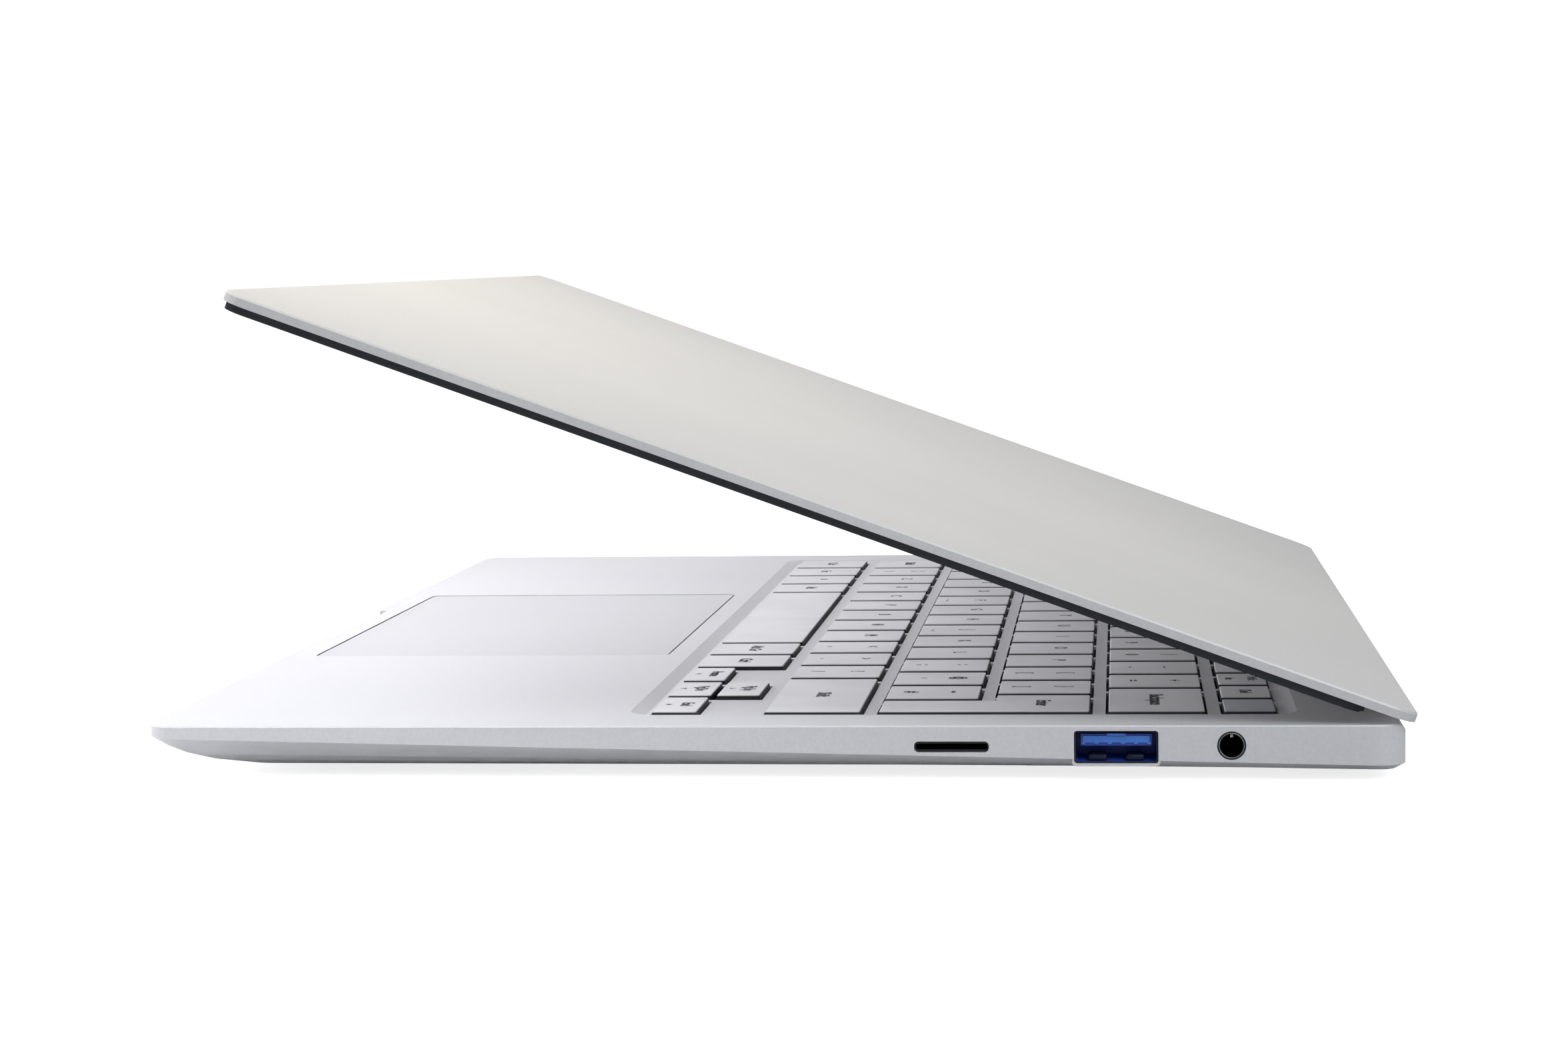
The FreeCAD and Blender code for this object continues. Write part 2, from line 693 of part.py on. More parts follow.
# Touchpad: a glass plate on a carrier that tips about a rod at its rear
glass_gap = dim("glass_gap", 0.35)
glass_corner = dim("glass_corner", 1.65)
glass_x = pad_x - glass_gap
glass_y = (pad_y[0] + glass_gap, pad_y[1] - glass_gap)
glass_z = (below(dim("glass_low", 0.75)), below(dim("glass_high", 0.05)))
keep(plate("touchpad_glass", (-glass_x, glass_x), glass_y, glass_z, glass_corner))
pivot_at = (dim("touchpad_pivot_y", -32.0), below(dim("touchpad_pivot_drop", 1.8)))
pivot_radius = dim("touchpad_pivot_radius", 0.7)
pivot_half = dim("touchpad_pivot_half", 54.5)
carrier_x = dim("carrier_half", 50.0)
carrier_y = (dim("carrier_front", -92.0), dim("carrier_back", -31.0))
carrier_z = (below(dim("carrier_low", 1.5)), glass_z[0])
carrier = block("touchpad_carrier_board", (-carrier_x, carrier_x), carrier_y, carrier_z)
pivot = rod("touchpad_pivot_rod", pivot_radius, (-pivot_half, pivot_half), pivot_at)
keep(fuse("touchpad_carrier", [carrier, pivot]))
frame_x = dim("touchpad_frame_half", 60.0)
frame_y = (dim("touchpad_frame_front", -94.0), dim("touchpad_frame_back", -26.5))
frame_z = (below(dim("touchpad_frame_low", 3.3)), below(dim("touchpad_frame_high", 2.8)))
frame_root = below(dim("touchpad_frame_root", 3.0))
rail_x = (dim("touchpad_rail_near", 58.0), frame_x)
rail_z = (frame_root, below(deck_skin))
ear_x = (dim("touchpad_ear_near", 51.5), dim("touchpad_ear_far", 53.5))
ear_half = dim("touchpad_ear_half", 1.5)
ear_y = (pivot_at[0] - ear_half, pivot_at[0] + ear_half)
ear_top = below(dim("touchpad_ear_top", 0.95))
ear_bore_x = (ear_x[0] - overrun, ear_x[1] + overrun)
ear_bore_radius = pivot_radius + dim("touchpad_ear_clearance", 0.05)
rails = [block("touchpad_tray", (-frame_x, frame_x), frame_y, frame_z)]
for side, name in both_sides:
    rails.append(block(f"touchpad_rail_{name}", spread(side, rail_x), frame_y, rail_z))
    ear = block(f"touchpad_ear_{name}", spread(side, ear_x), ear_y, (frame_root, ear_top))
    ear_bore = rod(f"touchpad_ear_bore_{name}", ear_bore_radius, spread(side, ear_bore_x), pivot_at)
    rails.append(cut(f"touchpad_ear_bored_{name}", ear, ear_bore))
keep(fuse("touchpad_frame", rails))

# Battery: two thick cells beside the touchpad and a thin one below it
cell_y = (dim("cell_front", -80.0), dim("cell_back", -30.0))
cell_low = below(dim("cell_low", 6.2))
thin_x = dim("thin_cell_half", 60.0)
thin_top = below(dim("thin_cell_top", 3.7))
thick_x = (dim("thick_cell_near", 62.0), dim("thick_cell_far", 123.0))
thick_top = below(dim("thick_cell_top", 1.3))
bridge_x = (dim("bridge_near", 59.0), dim("bridge_far", 63.0))
bridge_inset = dim("bridge_inset", 4.0)
bridge_y = (cell_y[0] + bridge_inset, cell_y[1] - bridge_inset)
bridge_z = (below(dim("bridge_low", 6.0)), below(dim("bridge_high", 5.0)))
cells_of_pack = [block("battery_cell_middle", (-thin_x, thin_x), cell_y, (cell_low, thin_top))]
for side, name in both_sides:
    cells_of_pack.append(block(f"battery_cell_{name}", spread(side, thick_x), cell_y, (cell_low, thick_top)))
    cells_of_pack.append(block(f"battery_bridge_{name}", spread(side, bridge_x), bridge_y, bridge_z))
keep(fuse("battery_pack", cells_of_pack))

# Main board with its chips, storage, wireless card and the left port board
board_z = (below(dim("board_low", 5.9)), below(dim("board_high", 5.1)))
chip_sink = dim("chip_sink", 0.1)
chip_z = (board_z[1] - chip_sink, below(dim("chip_top", 4.95)))
board_x = (dim("board_left", -38.0), dim("board_right", 137.0))
board_y = (dim("board_front", 10.0), dim("board_back", 84.0))
chip_spans = {
    "processor": ((-6.0, 26.0), (34.0, 58.0)),
    "memory_front": ((50.0, 66.0), (20.0, 32.0)),
    "memory_rear": ((50.0, 66.0), (38.0, 50.0)),
    "controller": ((92.0, 106.0), (40.0, 54.0)),
}
board_parts = [clipped("main_board_sheet", board_x, board_y, board_z, sheet_clip)]
for name, (x_span, y_span) in chip_spans.items():
    board_parts.append(block(name, x_span, y_span, chip_z))
keep(fuse("main_board", board_parts))

module_z = (below(dim("module_low", 5.6)), below(dim("module_high", 4.8)))
store_x = (dim("storage_left", 20.0), dim("storage_right", 100.0))
store_y = (dim("storage_front", -20.0), dim("storage_back", 2.0))
store_chip_start = dim("storage_chip_start", 6.0)
store_chip_wide = dim("storage_chip_wide", 18.0)
store_chip_pitch = dim("storage_chip_pitch", 24.0)
store_chip_inset = dim("storage_chip_inset", 3.0)
store_chip_y = (store_y[0] + store_chip_inset, store_y[1] - store_chip_inset)
store_chip_z = (module_z[1] - chip_sink, below(dim("storage_chip_top", 4.0)))
store_parts = [block("storage_sheet", store_x, store_y, module_z)]
for index in range(3):
    left = store_x[0] + store_chip_start + store_chip_pitch * index
    x_span = (left, left + store_chip_wide)
    store_parts.append(block(f"storage_chip_{index}", x_span, store_chip_y, store_chip_z))
keep(fuse("storage_module", store_parts))
radio_x = (dim("wireless_left", 104.0), dim("wireless_right", 126.0))
radio_y = (dim("wireless_front", -20.0), dim("wireless_back", 6.0))
can_inset = dim("wireless_can_inset", 2.0)
can_x = (radio_x[0] + can_inset, radio_x[1] - can_inset)
can_y = (dim("wireless_can_front", -14.0), radio_y[1] - can_inset)
can_z = (module_z[1] - chip_sink, below(dim("wireless_can_top", 3.8)))
radio = block("wireless_sheet", radio_x, radio_y, module_z)
can = block("wireless_can", can_x, can_y, can_z)
keep(fuse("wireless_card", [radio, can]))
port_board_x = (dim("port_board_left", -139.0), dim("port_board_right", -110.0))
port_board_y = (dim("port_board_front", 18.0), dim("port_board_back", 70.0))
keep(clipped("port_board", port_board_x, port_board_y, board_z, sheet_clip))

# Cooling: fan housing, bladed rotor, flattened heat pipe and fin stack
fan_z = (below(dim("fan_low", 6.4)), below(dim("fan_high", 3.4)))
fan_wall = dim("fan_wall", 0.3)
fan_half = (dim("fan_half_wide", 29.0), dim("fan_half_deep", 28.0))
fan_sides = [(middle - half, middle + half) for middle, half in zip(fan_at, fan_half)]
fan_box = clipped("fan_box", *fan_sides, fan_z, dim("fan_box_clip", 5.0))
room_z = (fan_z[0] + fan_wall, fan_z[1] - fan_wall)
fan_room = rod("fan_room", dim("fan_room_radius", 25.5), room_z, fan_at, "z")
outlet_half = dim("fan_outlet_half", 22.0)
outlet_y = (fan_at[1], fan_at[1] + dim("fan_outlet_reach", 30.0))
fan_outlet = block("fan_outlet", (fan_at[0] - outlet_half, fan_at[0] + outlet_half), outlet_y, room_z)
inlet_z = (fan_z[0] - overrun, room_z[0] + overrun)
fan_inlet = rod("fan_inlet", dim("fan_inlet_radius", 15.0), inlet_z, fan_at, "z")
post_z = (below(dim("fan_post_low", 5.6)), fan_z[1] - overrun)
fan_post = rod("fan_post", dim("fan_post_radius", 1.0), post_z, fan_at, "z")
fan_hollow = fuse("fan_hollow", [fan_room, fan_outlet, fan_inlet])
keep(fuse("fan_housing", [cut("fan_shell", fan_box, fan_hollow), fan_post]))

rotor = named("PartDesign::Body", "fan_rotor")
hub_radius = 8.0
hub_bore = 1.05
hub_low = dim("hub_low", 5.8)
hub = sketch_on(rotor, "fan_hub", "XY_Plane", below(hub_low))
for index, radius in enumerate((hub_radius, hub_bore)):
    hub.addGeometry(Part.Circle(Vector(0, 0), Vector(0, 0, 1), radius), False)
    hub.addConstraint(Sketcher.Constraint("Coincident", index, 3, -1, 1))
bind(hub, {
    "outer": (Sketcher.Constraint("Radius", 0, hub_radius), hub_radius),
    "bore": (Sketcher.Constraint("Radius", 1, hub_bore), hub_bore),
})
pad(rotor, "fan_hub_pad", hub, 1.8)
blade = sketch_on(rotor, "fan_blade", "XY_Plane", below(dim("blade_low", 5.7)))
root, bend, tip = 7.5, 16.4, 24.5
root_half = 0.45
bend_sweep = (1.8, 2.6)
tip_sweep = (6.6, 7.3)
polygon(blade, [
    (root, -root_half), (bend, bend_sweep[0]), (tip, tip_sweep[0]),
    (tip - root_half, tip_sweep[1]), (bend, bend_sweep[1]), (root, root_half),
])
blade_pad = pad(rotor, "fan_blade_pad", blade, 1.6)
settle()
ring = rotor.newObject("PartDesign::PolarPattern", "fan_blades")
ring.Originals = [blade_pad]
ring.Axis = (hub, ["N_Axis"])
ring.Angle = 360
ring.Occurrences = 17
rotor.Tip = ring
keep(place(rotor, fan_at[0], fan_at[1], 0))

pipe_half = dim("pipe_half_width", 3.5)
pipe_z = (chip_z[1], below(dim("pipe_top", 3.65)))
run_front = dim("pipe_front_run", 46.0)
run_back = dim("pipe_back_run", 79.5)
pipe = named("PartDesign::Body", "heat_pipe")
cold = sketch_on(pipe, "cold_plate", "XY_Plane", pipe_z[0])
cold_margin = dim("cold_plate_margin", 3.0)
cold_x, cold_y = (
    (low - margin, high + margin) for (low, high), margin in zip(chip_spans["processor"], (cold_margin, 1.0))
)
round_outline(cold, cold_x, cold_y, dim("cold_plate_corner", 2.0))
pad(pipe, "cold_plate_pad", cold, 0.9)
arm = sketch_on(pipe, "pipe_run", "XY_Plane", pipe_z[0])
pipe_start, pipe_end = 26.0, -97.0
turn_outer, turn_inner = -38.0, -45.0
polygon(arm, [
    (pipe_start, run_front - pipe_half), (pipe_start, run_front + pipe_half),
    (turn_outer + 12.0, run_front + pipe_half), (turn_outer, run_front + 12.0),
    (turn_outer, run_back + pipe_half), (pipe_end, run_back + pipe_half),
    (pipe_end, run_back - pipe_half), (turn_inner, run_back - pipe_half),
    (turn_inner, run_front + 8.0), (turn_inner + 15.0, run_front - pipe_half),
])
pad(pipe, "pipe_run_pad", arm, pipe_z[1] - pipe_z[0])
keep(pipe)
fin_count = 18
fin_pitch = dim("fin_pitch", 3.0)
fin_thick = dim("fin_thick", 0.4)
sink_x = (dim("sink_left", -98.0), dim("sink_right", -46.0))
sink_y = (dim("sink_front", 74.5), dim("sink_back", 84.5))
fin_z = (fan_z[0] + overrun, below(dim("fin_top", 5.0)))
fins = [block("fin_base", sink_x, sink_y, (fan_z[0], fan_z[0] + fan_wall))]
for index in range(fin_count):
    left = sink_x[0] + fin_thick + fin_pitch * index
    fins.append(block(f"fin_{index}", (left, left + fin_thick), sink_y, fin_z))
keep(fuse("heat_sink", fins))

# Speakers under the front corners of the keyboard's wrist rest
speaker_x = (dim("speaker_near", 126.0), dim("speaker_far", 137.0))
speaker_y = (dim("speaker_front", -74.0), dim("speaker_back", -24.0))
dish_rim = dim("speaker_dish_rim", 1.5)
dish_end = dim("speaker_dish_end", 8.0)
dish_z = (cell_low - overrun, below(dim("speaker_dish_top", 5.4)))
dish_x = (speaker_x[0] + dish_rim, speaker_x[1] - dish_rim)
dish_y = (speaker_y[0] + dish_end, speaker_y[1] - dish_end)
for side, name in both_sides:
    shell_x = spread(side, speaker_x)
    shell = clipped(f"speaker_{name}_shell", shell_x, speaker_y, (cell_low, thick_top), sheet_clip)
    dish = clipped(f"speaker_{name}_dish", spread(side, dish_x), dish_y, dish_z, sheet_clip)
    keep(cut(f"speaker_{name}", shell, dish))

# Right-hand ports
def shell_box(label, x_span, middle, drop, wide, high, radius, form=plate):
    """A box along X round a port's middle, with its long edges rounded or clipped."""
    levels = (below(drop) - high / 2, below(drop) + high / 2)
    return form(label, x_span, (middle - wide / 2, middle + wide / 2), levels, radius, side_axis)


mouth = dim("port_mouth", 151.7)
fit = dim("port_fit", 0.04)
port_inner = dim("port_inner", 141.2)
back_end = dim("port_back_end", 143.0)
blade_start = back_end - 0.5
inside = (port_inner - overrun, mouth + 1)
usb_room = (dim("usb_a_room_wide", 12.5), dim("usb_a_room_high", 4.62))
usb_seat = tuple(size - fit for size in usb_room)
usb_outer = shell_box("usb_a_outer", (port_inner, mouth), *usb_a[:2], usb_a[2] - fit, usb_a[3] - fit, 0.48)
usb_inner = shell_box("usb_a_inner", inside, *usb_a[:2], *usb_room, 0.3)
keep(cut("usb_a_shell", usb_outer, usb_inner))
usb_back = shell_box("usb_a_back", (port_inner, back_end), *usb_a[:2], *usb_seat, 0.3, clipped)
blade_half = dim("usb_a_blade_half", 5.5)
blade_low = below(usb_a[1]) + dim("usb_a_blade_rise", 0.05)
blade_z = (blade_low, blade_low + dim("usb_a_blade_thick", 1.84))
blade_y = (usb_a[0] - blade_half, usb_a[0] + blade_half)
usb_blade = block("usb_a_blade", (blade_start, 150.6), blade_y, blade_z)
keep(fuse("usb_a_tongue", [usb_back, usb_blade]))

shoulder = dim("port_shoulder", 148.6)
nose_start = shoulder - overrun
card_inner = dim("card_inner", 140.6)
card_housing = (dim("card_housing_wide", 13.4), dim("card_housing_high", 2.1))
card_gap = (dim("card_gap_wide", 11.2), dim("card_gap_high", 0.95))
card_body = shell_box("card_body", (card_inner, shoulder), *card[:2], *card_housing, 0.3, clipped)
card_nose = shell_box("card_nose", (nose_start, mouth), *card[:2], card[2] - fit, card[3] - fit, 0.68)
card_path = shell_box("card_path", (card_inner + 1, mouth + 1), *card[:2], *card_gap, 0.2, clipped)
keep(cut("card_slot", fuse("card_solid", [card_body, card_nose]), card_path))

jack_at = (jack[0], below(jack[1]))
jack_bore = dim("jack_bore", 1.8)
jack_inner = dim("jack_inner", 141.0)
jack_housing = (dim("jack_housing_wide", 6.0), dim("jack_housing_high", 4.6))
jack_body = shell_box("jack_body", (jack_inner, shoulder), *jack[:2], *jack_housing, 0.5, clipped)
jack_nose = rod("jack_nose", jack[2], (nose_start, half_width - 0.1), jack_at)
jack_hole = rod("jack_hole", jack_bore, (jack_inner - 1, half_width + 1), jack_at)
jack_solid = fuse("jack_solid", [jack_body, jack_nose])
keep(cut("audio_jack", jack_solid, jack_hole))

# Left-hand ports
left_mouth = spread(-1, (port_inner, mouth))
left_inside = spread(-1, inside)
left_back = spread(-1, (port_inner, back_end))
hdmi_room = (dim("hdmi_room_wide", 14.0), dim("hdmi_room_high", 4.4))
hdmi_seat = tuple(size - fit for size in hdmi_room)
hdmi_outer = shell_box("hdmi_outer", left_mouth, *hdmi[:2], hdmi[2] - fit, hdmi[3] - fit, 0.78)
hdmi_inner = shell_box("hdmi_inner", left_inside, *hdmi[:2], *hdmi_room, 0.6)
keep(cut("hdmi_shell", hdmi_outer, hdmi_inner))
hdmi_back = shell_box("hdmi_back", left_back, *hdmi[:2], *hdmi_seat, 0.6, clipped)
hdmi_low = below(hdmi[1]) - 0.4
hdmi_half = dim("hdmi_blade_half", 5.8)
hdmi_y = (hdmi[0] - hdmi_half, hdmi[0] + hdmi_half)
hdmi_blade = block("hdmi_blade", (-150.6, -blade_start), hdmi_y, (hdmi_low, hdmi_low + 1.2))
keep(fuse("hdmi_tongue", [hdmi_back, hdmi_blade]))
c_outer = (usb_c_wide - fit, usb_c_high - fit)
c_room = (dim("usb_c_room_wide", 8.34), dim("usb_c_room_high", 2.6))
c_seat = tuple(size - fit for size in c_room)
c_half = dim("usb_c_blade_half", 3.3)
c_thick = dim("usb_c_blade_thick", 0.7)
c_shells, c_tongues = [], []
for (middle, drop), name in zip(usb_c, ("rear", "front")):
    outer = shell_box(f"usb_c_{name}_outer", left_mouth, middle, drop, *c_outer, c_outer[1] / 2 - 0.01)
    inner = shell_box(f"usb_c_{name}_inner", left_inside, middle, drop, *c_room, c_room[1] / 2 - 0.01)
    c_shells.append(cut(f"usb_c_{name}_shell", outer, inner))
    back = shell_box(f"usb_c_{name}_back", left_back, middle, drop, *c_seat, c_seat[1] / 2 - 0.01, clipped)
    blade_z = (below(drop) - c_thick / 2, below(drop) + c_thick / 2)
    tongue = block(f"usb_c_{name}_blade", (-150.4, -blade_start), (middle - c_half, middle + c_half), blade_z)
    c_tongues.append(fuse(f"usb_c_{name}_tongue", [back, tongue]))
keep(group("usb_c_shells", c_shells))
keep(group("usb_c_tongues", c_tongues))

# Hinges and lid are drawn closed, then the lid's pieces turn open about the pins
hinge_at = (hinge_y, below(hinge_drop))
hinge_point = Vector(0, *hinge_at)
opened = Placement(Vector(), Rotation(Vector(1, 0, 0), -lid_angle), hinge_point)


def keep_open(thing):
    """Turn a lid piece from closed to its drawn angle."""
    thing.Placement = opened.multiply(thing.Placement)
    return keep(thing)


lid_under = deck + lid_gap
rim_level = lid_under + bezel_depth
lid_top = rim_level + lid_rim
lid_back = dim("lid_back", 98.96)
lid_front = lid_back - lid_length
lid_skin = dim("lid_skin", 0.7)
bezel_back = dim("bezel_back", 91.06)

bracket_x = (barrel_x[0], dim("bracket_far", 129.0))
bracket_y = (dim("bracket_front", 74.0), dim("bracket_back", 92.0))
bracket_low = below(dim("bracket_low", 4.6))
bore_x = (barrel_x[0] - 1, barrel_x[1] + 1)
pin_x = (barrel_x[0] + 0.3, knuckle_x[1])
riser_half = dim("riser_half", 1.3)
riser_y = (hinge_y - riser_half, hinge_y + riser_half)
leaf_x = (dim("leaf_near", 100.0), dim("leaf_far", 140.0))
leaf_y = (dim("leaf_front", 84.0), dim("leaf_back", 96.9))
for side, name in both_sides:
    foot = clipped(f"bracket_foot_{name}", spread(side, bracket_x), bracket_y, (bracket_low, below(3.5)), 1.5)
    neck = block(f"bracket_neck_{name}", spread(side, barrel_x), (90.0, hinge_y), (bracket_low, below(2.6)))
    barrel = rod(f"barrel_{name}", barrel_radius, spread(side, barrel_x), hinge_at)
    bore = rod(f"barrel_bore_{name}", pin_radius + pin_clearance, spread(side, bore_x), hinge_at)
    keep(cut(f"hinge_bracket_{name}", fuse(f"bracket_solid_{name}", [foot, neck, barrel]), bore))
    pin = rod(f"hinge_pin_{name}", pin_radius, spread(side, pin_x), hinge_at)
    knuckle = rod(f"knuckle_{name}", barrel_radius, spread(side, knuckle_x), hinge_at)
    riser = block(f"riser_{name}", spread(side, knuckle_x), riser_y, (below(hinge_drop), rim_level + 0.4))
    leaf = block(f"leaf_{name}", spread(side, leaf_x), leaf_y, (rim_level + 0.05, rim_level + 0.85))
    keep_open(fuse(f"hinge_arm_{name}", [pin, knuckle, riser, leaf]))

# Lid cover: a shallow tray with a solid lip behind the screen
lid = named("PartDesign::Body", "lid_cover")
lid_outline = sketch_on(lid, "lid_outline", "XY_Plane", rim_level)
round_outline(lid_outline, (-half_width, half_width), (lid_front, lid_back), case_corner)
pad(lid, "lid_plate", lid_outline, lid_rim)
lid_well = sketch_on(lid, "lid_well", "XY_Plane", rim_level)
lid_wall = dim("lid_wall", 1.5)
well_x = half_width - lid_wall
round_outline(lid_well, (-well_x, well_x), (lid_front + lid_wall, bezel_back), case_corner - lid_wall)
pocket(lid, "lid_well_cut", lid_well, lid_rim - lid_skin, True)
seat_gap = dim("leaf_seat_gap", 0.3)
seat_x = (leaf_x[0] - seat_gap, leaf_x[1] + seat_gap)
seat_y = (bezel_back - 2 * lid_wall, leaf_y[1] + seat_gap)
for side, name in both_sides:
    seat = sketch_on(lid, f"leaf_seat_{name}", "XY_Plane", rim_level)
    round_outline(seat, spread(side, seat_x), seat_y, 0.5)
    pocket(lid, f"leaf_seat_cut_{name}", seat, lid_rim - lid_skin, True)


def on_lid_edge(edge):
    return abs(edge.BoundBox.ZMin - lid_top) < 1e-4 and abs(edge.BoundBox.ZMax - lid_top) < 1e-4


dim("lid_edge_bevel", 0.3)
dress(lid, "PartDesign::Chamfer", "lid_edge", on_lid_edge, "Size", "lid_edge_bevel")
keep_open(lid)

# Screen panel, black bezel, soft gasket and camera
screen_x = dim("screen_half", 147.2)
screen_y = (dim("screen_front", -91.4), dim("screen_back", 74.2))
panel_levels = (lid_under + 0.7, rim_level + 0.85)
panel_x = dim("panel_half", 149.0)
panel_y = (dim("panel_front", -93.6), dim("panel_back", 82.0))
keep_open(clipped("display_panel", (-panel_x, panel_x), panel_y, panel_levels, 1.0))
bezel_levels = (lid_under + 0.15, lid_under + 0.65)
bezel_sheet = plate("bezel_sheet", (-149.9, 149.9), (-98.2, bezel_back - 0.1), bezel_levels, 2.5)
bezel_window = block("bezel_window", (-screen_x, screen_x), screen_y, (deck, rim_level))
camera_at = (0.0, dim("camera_y", -95.9))
camera_hole = rod("camera_hole", 1.6, (deck, rim_level), camera_at, "z")
keep_open(cut("display_bezel", bezel_sheet, group("bezel_cuts", [bezel_window, camera_hole])))
camera_board = block("camera_board", (-14.0, 14.0), (-97.8, -94.0), (bezel_levels[1] + 0.1, rim_level + 0.6))
camera_barrel = rod("camera_barrel", 1.4, (bezel_levels[0] + 0.05, bezel_levels[1] + 0.3), camera_at, "z")
keep_open(fuse("webcam_module", [camera_board, camera_barrel]))

gasket = named("PartDesign::Body", "bezel_gasket")
gasket_inset = dim("gasket_inset", 0.6)
gasket_wide = dim("gasket_wide", 1.6)
gasket_x = half_width - gasket_inset
gasket_outer = sketch_on(gasket, "gasket_outer", "XY_Plane", lid_under)
gasket_y = (lid_front + gasket_inset, bezel_back)
round_outline(gasket_outer, (-gasket_x, gasket_x), gasket_y, case_corner - gasket_inset)
pad(gasket, "gasket_pad", gasket_outer, bezel_depth)
hole_x = gasket_x - gasket_wide
hole_y = (gasket_y[0] + gasket_wide, bezel_back - 0.05)
gasket_inner = sketch_on(gasket, "gasket_inner", "XY_Plane", lid_under)
round_outline(gasket_inner, (-hole_x, hole_x), hole_y, dim("gasket_hole_corner", 2.6))
pocket(gasket, "gasket_cut", gasket_inner, bezel_depth, True)
tail = sketch_on(gasket, "gasket_tail", "YZ_Plane", -half_width)
tail_low = lid_under - 0.5
polygon(tail, [(bezel_back - 1.6, tail_low), (bezel_back + 1, tail_low), (bezel_back + 1, rim_level + 0.9)])
pocket(gasket, "gasket_tail_cut", tail, case_width, True)
keep_open(gasket)

# Check every object, then write each sub-part to its own file
doc.recompute()
faults = []
for thing in doc.Objects:
    if "Invalid" in thing.State or "Error" in thing.State:
        faults.append(f"{thing.Label}: {thing.State}")
for piece in pieces:
    if piece.Shape.isNull() or not piece.Shape.isValid():
        faults.append(f"{piece.Label}: no valid shape")
if faults:
    raise RuntimeError("; ".join(faults))
for piece in pieces:
    piece.Shape.exportStep(f"parts/{piece.Label}.step")
    box = piece.Shape.BoundBox
    print(f"{piece.Label}: {len(piece.Shape.Solids)} solids, {piece.Shape.Volume:.1f} mm3, "
          f"x {box.XMin:.2f} {box.XMax:.2f} y {box.YMin:.2f} {box.YMax:.2f} z {box.ZMin:.2f} {box.ZMax:.2f}")
print(f"{len(pieces)} sub-parts")
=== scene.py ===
import bpy
import json
import math
from mathutils import Matrix, Vector

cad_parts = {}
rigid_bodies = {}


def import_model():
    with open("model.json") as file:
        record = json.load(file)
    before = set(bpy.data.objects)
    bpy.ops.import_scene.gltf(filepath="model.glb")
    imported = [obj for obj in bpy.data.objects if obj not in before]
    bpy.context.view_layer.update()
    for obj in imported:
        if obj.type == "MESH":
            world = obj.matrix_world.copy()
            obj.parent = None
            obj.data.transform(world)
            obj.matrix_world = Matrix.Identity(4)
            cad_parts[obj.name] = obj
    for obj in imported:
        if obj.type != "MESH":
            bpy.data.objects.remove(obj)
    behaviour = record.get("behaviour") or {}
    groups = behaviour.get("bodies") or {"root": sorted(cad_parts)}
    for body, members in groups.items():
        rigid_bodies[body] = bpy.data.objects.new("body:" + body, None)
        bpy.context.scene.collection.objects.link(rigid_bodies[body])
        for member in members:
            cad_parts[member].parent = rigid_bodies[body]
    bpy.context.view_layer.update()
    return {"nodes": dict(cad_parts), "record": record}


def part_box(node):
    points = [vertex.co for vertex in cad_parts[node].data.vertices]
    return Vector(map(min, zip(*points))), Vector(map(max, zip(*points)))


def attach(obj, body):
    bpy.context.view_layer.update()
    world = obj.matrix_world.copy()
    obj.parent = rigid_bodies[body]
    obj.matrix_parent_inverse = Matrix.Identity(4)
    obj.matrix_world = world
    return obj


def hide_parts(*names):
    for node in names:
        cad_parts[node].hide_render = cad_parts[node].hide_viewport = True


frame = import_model()
nodes = frame["nodes"]
record = frame["record"]
slotOf = {part["node"]: part["material_slot"] for part in record["subparts"]}
mm = 0.001
mixFrom, mixTo, mixOut = 6, 7, 2  # colour sockets of a Mix node
print("frame loaded", len(nodes), "nodes")


def linear(hexText):
    parts = [int(hexText[i:i + 2], 16) / 255 for i in (1, 3, 5)]
    parts = [p / 12.92 if p <= 0.04045 else ((p + 0.055) / 1.055) ** 2.4 for p in parts]
    return (*parts, 1.0)


def addNode(mat, kind, values=None, links=None, **settings):
    made = mat.node_tree.nodes.new(kind)
    for key, value in settings.items():
        setattr(made, key, value)
    for key, value in (values or {}).items():
        made.inputs[key].default_value = value
    for key, source in (links or {}).items():
        mat.node_tree.links.new(source, made.inputs[key])
    return made


def perMm(size):
    return 1000.0 / size  # texture scale for a feature of this many millimetres


def startMaterial(name):
    mat = bpy.data.materials.new(name)
    mat.use_nodes = True
    mat.node_tree.nodes.clear()
    place = addNode(mat, "ShaderNodeTexCoord").outputs["Object"]
    return mat, place


# the colour goes from dark to light while the pattern goes from low to high
def twoTone(mat, pattern, dark, light, low=0.35, high=0.65):
    stretch = {"From Min": low, "From Max": high}
    share = addNode(mat, "ShaderNodeMapRange", stretch, {"Value": pattern}).outputs[0]
    tones = {mixFrom: linear(dark), mixTo: linear(light)}
    return addNode(mat, "ShaderNodeMix", tones, {"Factor": share}, data_type="RGBA").outputs[mixOut]


def finishMaterial(mat, colour, pattern, rough, bump=None, values=None):
    reach = {"To Min": rough[0], "To Max": rough[1]}
    roughness = addNode(mat, "ShaderNodeMapRange", reach, {"Value": pattern}).outputs[0]
    links = {"Base Color": colour, "Roughness": roughness}
    if bump:
        links["Normal"] = bump
    shader = addNode(mat, "ShaderNodeBsdfPrincipled", values, links).outputs[0]
    addNode(mat, "ShaderNodeOutputMaterial", None, {"Surface": shader})
    return mat


